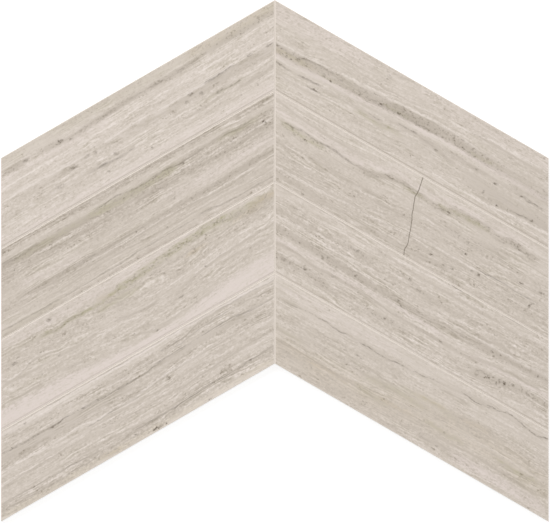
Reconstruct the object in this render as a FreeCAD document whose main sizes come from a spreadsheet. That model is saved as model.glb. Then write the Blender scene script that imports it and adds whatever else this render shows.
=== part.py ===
import FreeCAD, Part
import os
import Sketcher

# Chevron wall tile: eight sawn stone strips, four each side of a straight spine joint, on a mesh backing.
# It lies on its back: +Z is the visible face, +Y points to the chevron's tip, +X to the right.
# The origin is at the middle of the sheet's outline, on the back of the mesh. Lengths are millimetres.
SIZES = [
    ("strip_width", 40.5, "width of a strip, square to its long edges"),
    ("strip_length", 163.4, "length of a strip's long edge, from mitre to mitre"),
    ("strip_thickness", 10.0, "thickness of the stone"),
    ("slope", 30.0, "fall of the long edges away from the spine, in degrees"),
    ("row_joint", 0.3, "tight joint between one row and the next, square to the long edges"),
    ("spine_joint", 0.3, "tight joint between the left and the right strips"),
    ("arris", 0.4, "bevel that eases the edges of the visible face"),
    ("mesh_thickness", 0.5, "thickness of the mesh with its resin"),
    ("mesh_inset", 3.0, "how far the mesh stops short of the outline, square to each edge"),
]

# What follows from the driving sizes, so that strips, joints and mesh keep together.
DERIVED = [
    ("mitre_height", "strip_width / cos(slope * 1 deg)", "height of a strip's upright mitred end"),
    ("joint_height", "row_joint / cos(slope * 1 deg)", "height of a row joint along an upright line"),
    ("strip_run", "strip_length * cos(slope * 1 deg)", "how far a strip reaches sideways"),
    ("strip_fall", "strip_length * sin(slope * 1 deg)", "how far a strip falls towards its outer end"),
    ("row_pitch", "mitre_height + joint_height", "step from one row to the next"),
    ("arm_height", "ROWS * mitre_height + (ROWS - 1) * joint_height", "height of the stack of rows"),
    ("tip_height", "(arm_height + strip_fall) / 2", "height of the tip above the middle of the outline"),
    ("half_width", "strip_run + spine_joint / 2", "half the width of the sheet"),
    ("mesh_half_width", "half_width - mesh_inset", "half the width of the mesh"),
    ("mesh_arm_height", "arm_height - 2 * mesh_inset / cos(slope * 1 deg)", "upright height of a mesh arm"),
    ("mesh_tip_drop", "mesh_inset / cos(slope * 1 deg) - spine_joint / 2 * tan(slope * 1 deg)",
     "how far the mesh tip lies below the strips' tips"),
    ("mesh_fall", "mesh_half_width * tan(slope * 1 deg)", "how far a mesh arm falls towards its outer end"),
]

ROWS = 4
SIDES = (("left", -1), ("right", 1))


def make_sheet(doc):
    """Write the driving sizes, and what follows from them, into a spreadsheet with aliases."""
    sheet = doc.addObject("Spreadsheet::Sheet", "sizes")
    cells = [(alias, str(value), note) for alias, value, note in SIZES]
    cells += [(alias, "=" + rule.replace("ROWS", str(ROWS)), note) for alias, rule, note in DERIVED]
    for row, (alias, content, note) in enumerate(cells, start=1):
        sheet.set(f"A{row}", alias)
        sheet.set(f"B{row}", content)
        sheet.setAlias(f"B{row}", alias)
        sheet.set(f"C{row}", note)
    doc.recompute()
    return sheet


def make_body(doc, label, x="0", y="0", z="0"):
    """Start a body with the given label, placed by expressions."""
    body = doc.addObject("PartDesign::Body", label)
    body.Label = label
    for axis, rule in (("x", x), ("y", y), ("z", z)):
        body.setExpression(f".Placement.Base.{axis}", rule)
    return body


def make_sketch(body, name):
    """Start a sketch on the body's own XY plane."""
    plane = next(item for item in body.Origin.OriginFeatures if item.Role == "XY_Plane")
    sketch = body.newObject("Sketcher::SketchObject", name)
    sketch.AttachmentSupport = [(plane, "")]
    sketch.MapMode = "FlatFace"
    return sketch


def draw_outline(sketch, corners):
    """Draw a closed outline of straight lines through the corners, joined end to end."""
    points = [FreeCAD.Vector(x, y, 0) for x, y in corners]
    count = len(points)
    for index in range(count):
        sketch.addGeometry(Part.LineSegment(points[index], points[(index + 1) % count]), False)
    for index in range(count):
        sketch.addConstraint(Sketcher.Constraint("Coincident", index, 2, (index + 1) % count, 1))


def add_size(sketch, name, rule, *constraint):
    """Add a named dimension to the sketch and bind it to the spreadsheet."""
    index = sketch.addConstraint(Sketcher.Constraint(*constraint))
    sketch.renameConstraint(index, name)
    sketch.setExpression(f"Constraints.{name}", rule)


def pad_up(body, sketch, name, rule):
    """Raise the sketch into a solid of the bound thickness."""
    pad = body.newObject("PartDesign::Pad", name)
    pad.Profile = sketch
    pad.setExpression("Length", rule)
    return pad


def make_strip(doc, sheet, label, side, row):
    """One stone strip: a parallelogram with upright mitred ends and eased edges round its face."""
    body = make_body(
        doc,
        label,
        x=f"{side} * sizes.spine_joint / 2",
        y=f"sizes.tip_height - {row} * sizes.row_pitch",
        z="sizes.mesh_thickness",
    )
    sketch = make_sketch(body, f"{label}_outline")
    run = side * sheet.strip_run
    fall = sheet.strip_fall
    mitre = sheet.mitre_height
    # The outline starts at the upper corner on the spine and goes out along the upper long edge.
    draw_outline(sketch, [(0, 0), (run, -fall), (run, -fall - mitre), (0, -mitre)])
    upper, outer_end, lower, spine_end = range(4)
    origin = (-1, 1)
    sketch.addConstraint(Sketcher.Constraint("Coincident", upper, 1, *origin))
    sketch.addConstraint(Sketcher.Constraint("Vertical", outer_end))
    sketch.addConstraint(Sketcher.Constraint("Vertical", spine_end))
    sketch.addConstraint(Sketcher.Constraint("Parallel", upper, lower))
    outward = (upper, 1, upper, 2) if side > 0 else (upper, 2, upper, 1)
    add_size(sketch, "strip_run", "sizes.strip_run", "DistanceX", *outward, abs(run))
    add_size(sketch, "strip_fall", "sizes.strip_fall", "DistanceY", upper, 2, upper, 1, fall)
    add_size(sketch, "mitre_height", "sizes.mitre_height", "DistanceY", spine_end, 1, spine_end, 2, mitre)
    pad = pad_up(body, sketch, f"{label}_stone", "sizes.strip_thickness")
    doc.recompute()
    faces = pad.Shape.Faces
    visible = max(range(len(faces)), key=lambda index: faces[index].CenterOfMass.z)
    bevel = body.newObject("PartDesign::Chamfer", f"{label}_arris")
    bevel.Base = (pad, [f"Face{visible + 1}"])
    bevel.setExpression("Size", "sizes.arris")
    return body


def make_mesh(doc, sheet):
    """The mesh backing: one thin chevron under all the strips, a little inside their outline."""
    body = make_body(doc, "mesh_backing", y="sizes.tip_height - sizes.mesh_tip_drop")
    sketch = make_sketch(body, "mesh_outline")
    half = sheet.mesh_half_width
    fall = sheet.mesh_fall
    arm = sheet.mesh_arm_height
    # The outline starts at the tip and goes round by the right arm, the notch and the left arm.
    draw_outline(sketch, [
        (0, 0),
        (half, -fall),
        (half, -fall - arm),
        (0, -arm),
        (-half, -fall - arm),
        (-half, -fall),
    ])
    upper_right, right_end, lower_right, lower_left, left_end, upper_left = range(6)
    origin = (-1, 1)
    upright_axis = -2
    sketch.addConstraint(Sketcher.Constraint("Coincident", upper_right, 1, *origin))
    sketch.addConstraint(Sketcher.Constraint("Vertical", right_end))
    sketch.addConstraint(Sketcher.Constraint("Vertical", left_end))
    sketch.addConstraint(Sketcher.Constraint("PointOnObject", lower_right, 2, upright_axis))
    sketch.addConstraint(Sketcher.Constraint("Parallel", upper_right, lower_right))
    sketch.addConstraint(Sketcher.Constraint("Parallel", upper_left, lower_left))
    sketch.addConstraint(Sketcher.Constraint("Symmetric", upper_right, 2, upper_left, 1, upright_axis))
    add_size(sketch, "half_width", "sizes.mesh_half_width", "DistanceX", upper_right, 1, upper_right, 2, half)
    add_size(sketch, "arm_fall", "sizes.mesh_fall", "DistanceY", upper_right, 2, upper_right, 1, fall)
    add_size(sketch, "arm_height", "sizes.mesh_arm_height", "DistanceY", right_end, 2, right_end, 1, arm)
    pad_up(body, sketch, "mesh_sheet", "sizes.mesh_thickness")
    return body


def check_document(doc, bodies):
    """Stop if any object failed, a sketch is loose or a piece is not one whole solid."""
    for item in doc.Objects:
        if "Invalid" in item.State or "Error" in item.State:
            raise RuntimeError(f"{item.Label} failed: {item.State}")
        if item.TypeId == "Sketcher::SketchObject" and item.solve() != 0:
            raise RuntimeError(f"{item.Label} has conflicting constraints")
    for body in bodies:
        shape = body.Shape
        if shape.isNull() or not shape.isValid() or len(shape.Solids) != 1:
            raise RuntimeError(f"{body.Label} is not one valid solid")


def main():
    doc = FreeCAD.newDocument("chevron_wall_tile")
    sheet = make_sheet(doc)
    bodies = [make_mesh(doc, sheet)]
    for side_name, side in SIDES:
        for row in range(ROWS):
            bodies.append(make_strip(doc, sheet, f"strip_{side_name}_{row + 1}", side, row))
    doc.recompute()
    check_document(doc, bodies)
    os.makedirs("parts", exist_ok=True)
    for body in bodies:
        body.Shape.exportStep(f"parts/{body.Label}.step")
    outline = Part.makeCompound([body.Shape for body in bodies]).BoundBox
    print("outline", [round(size, 3) for size in (outline.XLength, outline.YLength, outline.ZLength)])
    print("centre", [round(place, 6) for place in (outline.Center.x, outline.Center.y, outline.ZMin)])


main()
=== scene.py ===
import math
from collections import namedtuple
from functools import reduce

import bmesh
import bpy
import numpy as np
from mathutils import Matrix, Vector, noise


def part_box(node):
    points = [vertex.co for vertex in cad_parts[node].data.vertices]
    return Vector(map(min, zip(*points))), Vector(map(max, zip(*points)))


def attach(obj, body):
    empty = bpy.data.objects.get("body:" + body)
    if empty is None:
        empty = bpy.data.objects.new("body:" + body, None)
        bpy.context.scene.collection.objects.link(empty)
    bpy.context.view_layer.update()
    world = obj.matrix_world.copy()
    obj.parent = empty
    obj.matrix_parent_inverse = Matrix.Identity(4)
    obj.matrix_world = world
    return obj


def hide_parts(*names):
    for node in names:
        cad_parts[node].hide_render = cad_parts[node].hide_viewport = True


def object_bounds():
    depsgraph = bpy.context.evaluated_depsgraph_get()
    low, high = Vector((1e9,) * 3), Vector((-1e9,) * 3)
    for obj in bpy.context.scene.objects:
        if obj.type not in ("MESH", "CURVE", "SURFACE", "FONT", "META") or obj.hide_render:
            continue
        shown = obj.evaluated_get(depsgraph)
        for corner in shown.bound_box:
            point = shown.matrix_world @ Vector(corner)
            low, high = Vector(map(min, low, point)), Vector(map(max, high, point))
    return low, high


bl_info = {
    "name": "Chevron wall tile",
    "version": (1, 0, 0),
    "blender": (4, 5, 0),
    "location": "View3D > Sidebar > Chevron tile",
    "description": "Dresses a chevron sheet of vein-cut limestone strips on a glass-fibre mesh",
    "category": "Object",
}

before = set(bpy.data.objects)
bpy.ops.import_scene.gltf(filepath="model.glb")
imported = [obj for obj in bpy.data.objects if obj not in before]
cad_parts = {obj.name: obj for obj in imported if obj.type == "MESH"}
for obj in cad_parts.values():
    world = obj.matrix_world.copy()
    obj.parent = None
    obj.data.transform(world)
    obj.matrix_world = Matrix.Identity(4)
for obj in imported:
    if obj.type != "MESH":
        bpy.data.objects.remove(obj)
CAD_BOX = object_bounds()
BODY = "root"
MM = 0.001
ROWS = (1, 2, 3, 4)
SIDES = ("left", "right")
STRIP_NODES = [f"strip_{side}_{row}" for side in SIDES for row in ROWS]
MESH_NODE = "mesh_backing"


# Settings

def shown_colour(red, green, blue):
    """A screen colour of 0 to 255 as the linear colour that shows as it."""
    shares = [part / 255 for part in (red, green, blue)]
    return tuple(part / 12.92 if part <= 0.04045 else ((part + 0.055) / 1.055) ** 2.4 for part in shares)


def colour_setting(label, words, red, green, blue):
    return bpy.props.FloatVectorProperty(
        name=label, description=words, subtype="COLOR", size=3, min=0.0, max=1.0,
        default=shown_colour(red, green, blue),
    )


def length_setting(label, words, millimetres):
    return bpy.props.FloatProperty(
        name=label, description=words, default=millimetres * MM, min=0.0, unit="LENGTH", precision=5,
    )


def share_setting(label, words, share):
    return bpy.props.FloatProperty(name=label, description=words, default=share, min=0.0, subtype="FACTOR")


class StoneSettings(bpy.types.PropertyGroup):
    deep: colour_setting("Deep", "The limestone's darkest beds", 140, 129, 115)
    dusk: colour_setting("Dusk", "The limestone's dark beds", 174, 163, 150)
    beige: colour_setting("Beige", "Ground colour of the limestone", 205.5, 195, 183.5)
    pale: colour_setting("Pale", "The limestone's palest beds", 235.5, 225, 218)
    # The ground edge colour is partly the paler ground stone and partly painted highlight on the eased edges
    # and joints.
    edge: colour_setting("Ground edge", "Pale colour of the freshly ground edges", 227, 217, 207)
    cream: colour_setting("Cream", "Thin pale beds", 230, 220, 212)
    blush: colour_setting("Blush", "Broad pale beds with a pink cast", 222, 210, 203)
    # Taupe is also the colour of the painted shade line along the lower edges.
    taupe: colour_setting("Taupe", "Darker beds", 172, 161, 148)
    # Umber in the pits is partly their dark fill and partly painted shade in the hollows.
    umber: colour_setting("Umber", "Thin dark veins and the floor of pits", 108, 97, 83)
    olive: colour_setting("Olive", "Green-brown mineral stains", 174, 167, 140)
    ochre: colour_setting("Ochre", "Yellow-brown mineral stains", 186, 168, 136)
    honey: colour_setting("Honey", "Yellowish pale beds", 216, 205, 183)
    roughness: share_setting("Roughness", "Roughness of the honed face", 0.56)
    arris: length_setting("Arris", "Breadth of the eased edges round the face", 0.3)
    ease: share_setting("Ease", "Depth of the eased edges as a share of their breadth", 0.45)
    chip: length_setting("Chipping", "How far the sawn edges wander inwards", 0.06)
    grid: length_setting("Grid", "Spacing of the modelled face", 0.75)


class MeshSettings(bpy.types.PropertyGroup):
    thread: colour_setting("Thread", "Colour of the resin-coated glass threads", 226, 225, 219)
    resin: colour_setting("Resin", "Yellowish cast of the resin in places", 214, 208, 188)
    filament: colour_setting("Filament", "Shade between the filaments of a thread", 186, 184, 176)
    spacing: length_setting("Spacing", "Distance from thread to thread", 5.0)
    breadth: length_setting("Breadth", "Breadth of a flattened thread", 0.9)
    step: length_setting("Step", "Length of the straight steps along a thread", 2.5)


class StageSettings(bpy.types.PropertyGroup):
    floor: colour_setting("Floor", "Colour of the pale floor", 190, 190, 190)
    glow: share_setting("Floor glow", "How bright the floor shows by itself to the camera", 0.74)
    sky: share_setting("Sky", "Strength of the even light from all round", 0.59)
    key_power: bpy.props.FloatProperty(
        name="Key lamp", description="Power of the soft lamp beyond the tip",
        default=46.5, min=0.0, unit="POWER",
    )


# Node trees

# Places of the colour sockets of a Mix node
MIX_FACTOR, MIX_GROUND, MIX_OVER, MIX_RESULT = 0, 6, 7, 2

# The sizes of a noise's grains along three axes, with its detail and roughness
Grain = namedtuple("Grain", "x y z detail roughness", defaults=(3.0, 0.55))


class Field:
    """A value on its way through a node tree. Arithmetic on it adds Math nodes."""

    def __init__(self, graph, socket):
        self.graph = graph
        self.socket = socket

    def __add__(self, other):
        return self.graph.math("ADD", self, other)

    def __radd__(self, other):
        return self.graph.math("ADD", other, self)

    def __sub__(self, other):
        return self.graph.math("SUBTRACT", self, other)

    def __rsub__(self, other):
        return self.graph.math("SUBTRACT", other, self)

    def __mul__(self, other):
        return self.graph.math("MULTIPLY", self, other)

    def __rmul__(self, other):
        return self.graph.math("MULTIPLY", other, self)

    def __truediv__(self, other):
        return self.graph.math("DIVIDE", self, other)

    def __rtruediv__(self, other):
        return self.graph.math("DIVIDE", other, self)

    def __abs__(self):
        return self.graph.math("ABSOLUTE", self)

    def largest(self, other):
        return self.graph.math("MAXIMUM", self, other)

    def smallest(self, other):
        return self.graph.math("MINIMUM", self, other)

    def smooth(self, low, high, top=1.0):
        """0 at low, top at high, with an eased step between them."""
        return self.graph.add(
            "ShaderNodeMapRange",
            {"interpolation_type": "SMOOTHSTEP"},
            {"Value": self, "From Min": low, "From Max": high, "To Max": top},
        )

    def line(self, half_width, soft, top=1.0):
        """top along a line where this value is about 0, with soft edges."""
        return abs(self).smooth(half_width + soft, half_width - soft, top)

    def curve(self, points):
        """A smooth curve through given points, read at this value."""
        return self.graph.add("ShaderNodeFloatCurve", {"points": points}, {"Value": self})


class Graph:
    """A node tree under construction."""

    def __init__(self, tree):
        self.tree = tree

    def add(self, kind, settings=None, sockets=None, output=0):
        """Add a node: its settings, then the values or links of its sockets. A list is several links."""
        node = self.tree.nodes.new(kind)
        for name, value in (settings or {}).items():
            if name == "points":
                shape_curve(node.mapping, value)
            elif name == "stops":
                shape_ramp(node.color_ramp.elements, value)
            else:
                setattr(node, name, value)
        for name, value in (sockets or {}).items():
            for item in value if isinstance(value, list) else [value]:
                self.feed(node.inputs[name], item)
        return Field(self, node.outputs[output]) if node.outputs else None

    def feed(self, socket, value):
        """Link a field to a socket, or give the socket a plain value."""
        if isinstance(value, Field):
            self.tree.links.new(value.socket, socket)
        else:
            socket.default_value = value

    def math(self, operation, *terms):
        return self.add("ShaderNodeMath", {"operation": operation}, dict(enumerate(terms)))

    def vector_math(self, operation, *terms, output=0):
        return self.add("ShaderNodeVectorMath", {"operation": operation}, dict(enumerate(terms)), output)

    def vector(self, x, y, z):
        return self.add("ShaderNodeCombineXYZ", None, {"X": x, "Y": y, "Z": z})

    def parts(self, vector):
        """The three parts of a vector, from one node."""
        split = self.add("ShaderNodeSeparateXYZ", None, {"Vector": vector}).socket.node
        return [Field(self, socket) for socket in split.outputs]

    def noise(self, place, grain):
        """Fractal noise about 0, with grains of these sizes."""
        scaled = self.vector_math("MULTIPLY", place, (1 / grain.x, 1 / grain.y, 1 / grain.z))
        sockets = {"Vector": scaled, "Scale": 1.0, "Detail": grain.detail, "Roughness": grain.roughness}
        return self.add("ShaderNodeTexNoise", {"noise_dimensions": "3D"}, sockets) - 0.5

    def blend(self, factor, ground, colour):
        """Lay a plain colour over a ground colour where the factor is 1."""
        sockets = {MIX_FACTOR: factor, MIX_GROUND: ground, MIX_OVER: opaque(colour)}
        return self.add("ShaderNodeMix", {"data_type": "RGBA"}, sockets, MIX_RESULT)


def opaque(colour):
    return (*colour, 1.0)


def shape_ramp(elements, stops):
    """Put the stops of a colour ramp in place, each a share and a colour."""
    for (share, colour), element in zip((stops[0], stops[-1]), (elements[0], elements[-1])):
        element.position = share
        element.color = colour
    for share, colour in stops[1:-1]:
        elements.new(share).color = colour


def shape_curve(mapping, points):
    """Put the points of a one-line curve mapping in place."""
    mapping.use_clip = False
    mapping.extend = "HORIZONTAL"
    line = mapping.curves[0]
    line.points[0].location = points[0]
    line.points[-1].location = points[-1]
    for place in points[1:-1]:
        line.points.new(*place)
    for point in line.points:
        point.handle_type = "AUTO_CLAMPED"
    mapping.update()


def new_material(name):
    material = bpy.data.materials.new(name)
    material.use_nodes = True
    material.node_tree.nodes.clear()
    return material


# The stone of each strip, as its maker would describe it

# Places are percent of the strip: along from its left end to its right end, and down from its upper edge.
# Levels are steps of 255 lighter or darker than the ground colour. Widths and lengths are millimetres.
# The flow says how much lower the beds lie along the strip, and the grain how strong the fine marks are.
# A vein's strength is one number, or one for each point of its path, and its speckle is how thickly specks
# lie on it. Veins are listed by tone from the upper edge down, and pits from left to right.

# How well veins of each tone cover the stone, in the order in which they are laid
VEIN_CONTRAST = {
    "blush": 0.8, "honey": 0.8, "cream": 0.95, "taupe": 0.7, "ochre": 0.7, "olive": 0.7, "umber": 0.6,
}

Vein = namedtuple("Vein", "path half_width soft strength speckle", defaults=(0.0,))
Pit = namedtuple("Pit", "along down length breadth strength")
Lamina = namedtuple("Lamina", "spacing turns length breadth strength")
STRAIGHT_LAMINA = Lamina(spacing=2.2, turns=5.0, length=45.0, breadth=4.0, strength=9.0)
WAVY_LAMINA = Lamina(spacing=1.8, turns=4.5, length=32.0, breadth=4.0, strength=11.0)
SWIRLING_LAMINA = Lamina(spacing=2.4, turns=4.0, length=15.0, breadth=7.0, strength=10.0)
CALM_LAMINA = Lamina(spacing=2.4, turns=5.0, length=45.0, breadth=4.0, strength=6.0)
LONG_LAMINA = Lamina(spacing=1.7, turns=5.0, length=70.0, breadth=4.0, strength=13.0)
# A strip's lower-edge value is the strength of a thin line of painted shade along its lower edge.
Stone = namedtuple(
    "Stone",
    ("level", "flow", "beds", "pits", "crack", "grain", "lamina", "saw_line", *VEIN_CONTRAST),
    defaults=(None, 1.0, STRAIGHT_LAMINA, 0.0, *[()] * len(VEIN_CONTRAST)),
)

LEFT_1 = Stone(
    level=4.5, grain=1.1, saw_line=0.45,
    flow=[(0, 2), (40, 1), (60, -1), (100, -6)],
    beds=[(0, 1), (10, 2), (18, -4), (28, 3), (38, -1), (47, 3), (55, -4), (68, -1), (84, -1), (95, 7)],
    blush=[
        Vein([(8, 26), (20, 27), (35, 26)], 2, 2, 0.3),
        Vein([(0, 96), (100, 95)], 2.5, 1.5, 0.3),
    ],
    cream=[
        Vein([(0, 36), (22, 34.5), (41, 35), (51, 32), (66, 32), (92, 28.5)], 0.35, 0.35, 0.7),
        Vein([(41, 49), (47, 46.5), (56, 48), (66, 48), (76, 47), (85, 44), (90, 41), (100, 42)],
             0.4, 0.35, 0.75),
        Vein([(0, 50), (10, 49), (20, 50.5), (30, 51)], 0.35, 0.35, 0.6),
        Vein([(33, 63), (38, 66), (43, 66.5), (50, 67)], 0.35, 0.35, 0.6),
    ],
    taupe=[
        Vein([(77, 14), (84, 13), (90, 14), (95, 12), (100, 11)], 1.4, 1, 0.4, 1),
        Vein([(6, 19), (12, 18), (20, 20), (26, 22), (31, 20.5), (38, 20), (47, 17), (52, 18), (56, 17),
              (64, 17.7), (71, 16.4)], 1.3, 0.9,
             [0.5, 0.1, 0.6, 0.3, 0.6, 0.65, 0.55, 0.35, 0.6, 0.6, 0.65], 0.7),
        Vein([(5, 54), (20, 55), (41, 54), (60, 54), (80, 53), (100, 53)], 2, 1.8,
             [0.05, 0.15, 0.15, 0.3, 0.32, 0.3]),
        Vein([(89, 74), (94, 74), (100, 71.5)], 0.8, 0.6, 0.45),
        Vein([(69, 75), (81, 72.3)], 0.6, 0.5, 0.35),
    ],
    ochre=[Vein([(72, 6), (86, 5), (100, 6)], 2, 1.6, 0.2, 0.5)],
    olive=[
        Vein([(0, 5), (50, 6), (100, 6)], 3, 2, 0.2, 0.35),
        Vein([(80, 66), (84, 66.5), (87, 66.5)], 0.9, 0.7, 0.35),
    ],
    umber=[
        Vein([(27, 20.5), (38, 20), (47, 17.5), (56, 17), (64, 17.8), (71, 16.5)], 0.4, 0.5, 0.25),
        Vein([(78, 47.5), (84, 47)], 0.75, 0.6, 0.45),
        Vein([(81, 65.5), (84, 66), (86.5, 67)], 0.7, 0.6, 0.6),
        Vein([(33.5, 72), (38, 74), (41, 75), (45, 75.5), (47.5, 73)], 0.7, 0.6, 0.48),
    ],
    pits=[
        Pit(9, 18.5, 3, 1.8, 0.5), Pit(21.5, 20, 3.4, 2, 0.75), Pit(21.8, 69.5, 4.6, 2.2, 0.45),
        Pit(25.5, 23.5, 3.4, 1.2, 0.5), Pit(26.5, 57, 4.8, 2.4, 0.65), Pit(31.5, 53.5, 3, 2, 0.35),
        Pit(34.5, 54.5, 1.8, 2.6, 0.55), Pit(39.5, 84.5, 1, 2, 0.5), Pit(42.2, 68.5, 2.8, 2.6, 0.5),
        Pit(50.7, 5, 1.5, 1.2, 0.5), Pit(55.4, 85.2, 0.9, 1.6, 0.5), Pit(68, 57, 2, 1.8, 0.4),
        Pit(69.5, 51, 3, 1.9, 0.6), Pit(73.5, 57, 2, 2.4, 0.45), Pit(84, 11.5, 1.8, 1.2, 0.5),
        Pit(88, 83.7, 0.8, 1, 0.4), Pit(91, 45, 2.8, 1.5, 0.5), Pit(94, 8.5, 1.6, 1.2, 0.5),
        Pit(94, 83, 0.8, 1.6, 0.4), Pit(98, 46.5, 3.5, 1.5, 0.5), Pit(98, 83, 0.8, 1.8, 0.4),
        Pit(99, 12.5, 1.8, 2, 0.5),
    ],
)

LEFT_2 = Stone(
    level=-6.5, grain=1.2, lamina=LONG_LAMINA,
    flow=[(0, 0), (50, 0.5), (100, 0)],
    beds=[(0, -11), (7, -8), (11, 9), (20, -7), (28, -7), (38, -2), (57, 7), (65, -2), (76, 3), (90, 8),
          (100, -8)],
    blush=[
        Vein([(66, 50), (80, 51), (93, 50)], 2.6, 2, 0.35),
        Vein([(11, 53), (18, 57), (26, 57)], 1.5, 1.4, 0.35),
    ],
    cream=[
        Vein([(64, 27.5), (80, 29), (100, 28)], 0.4, 0.4, 0.4),
        Vein([(10, 29.5), (25, 28.5), (41, 27.3)], 0.3, 0.4, 0.25),
        Vein([(31, 70), (44, 71.5), (60, 69.5), (77, 72), (90, 71)], 0.3, 0.3, 0.4),
    ],
    taupe=[
        Vein([(75, 16.5), (80, 18)], 1, 0.8, 0.35),
        Vein([(0, 22), (9, 22), (30, 22)], 1.4, 1, 0.4),
        Vein([(9, 33), (31, 34), (44, 31), (64, 32)], 0.6, 0.5, 0.4),
        Vein([(73, 34), (84, 36), (97, 33)], 0.6, 0.5, 0.5, 0.8),
        Vein([(51, 34), (63, 35.5)], 0.6, 0.5, 0.45, 0.8),
        Vein([(8, 65), (15, 66), (26, 66.3), (41, 67), (48, 66.4), (62, 65), (81, 65), (100, 65)],
             1, 0.9, 0.45, 0.5),
        Vein([(13, 68), (26, 73), (38, 75), (51, 72.5), (66, 72), (77, 75), (88, 74), (100, 70.5)],
             0.4, 0.35, 0.45),
        Vein([(20, 84), (44, 80), (60, 83), (100, 84)], 0.35, 0.3, 0.35),
    ],
    olive=[
        Vein([(83, 17.3), (87, 19.5), (92, 18.7)], 1.4, 1.2, 0.35, 0.6),
        Vein([(10, 21), (20, 21), (28, 20.5)], 1.6, 1.2, 0.35),
        Vein([(35, 20.5), (41, 21.5), (48, 22), (55, 21.5), (61, 20.5)], 1.9, 1.2, 0.55, 0.4),
        Vein([(0, 97), (18, 95)], 1.6, 1.6, 0.2),
    ],
    umber=[
        Vein([(0, 3.2), (37, 3.7), (60, 2.8), (73, 3.2), (100, 3)], 0.5, 0.5, 0.1),
        Vein([(83.5, 17), (87, 18), (91, 17.5)], 0.4, 0.4, 0.35, 0.6),
        Vein([(36, 17.5), (42, 15), (47, 18), (53, 19), (57.5, 17.3), (62, 17.7), (66, 20), (70.5, 18.6),
              (73, 18.2)], 0.4, 0.4, 0.5, 0.6),
        Vein([(0, 17), (6.5, 19.5), (12, 18)], 0.7, 0.6, 0.35),
        Vein([(31, 66.5), (41, 67.2), (50, 66.5)], 0.4, 0.4, 0.15),
        Vein([(0, 91.5), (22, 92.7), (44, 92), (51, 90), (64, 90.5), (76, 89), (81, 92), (100, 93)],
             0.4, 0.35, 0.4),
    ],
    pits=[
        Pit(5, 32, 1, 1, 0.5), Pit(45, 23, 1.2, 1.4, 0.4), Pit(49.6, 67.5, 1.2, 1, 0.7),
        Pit(60, 36.5, 2.5, 1.2, 0.5), Pit(61, 83, 1, 0.8, 0.4), Pit(63.4, 54, 1.2, 1, 0.5),
        Pit(66.5, 2.5, 1.2, 1, 0.4), Pit(66.8, 22, 1.2, 1.2, 0.8), Pit(69.9, 66, 1, 1.2, 0.6),
        Pit(96, 26, 1.5, 1.3, 0.95), Pit(97, 29, 1, 2, 0.5), Pit(97.2, 35, 1.2, 1.2, 0.5),
    ],
)

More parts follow.
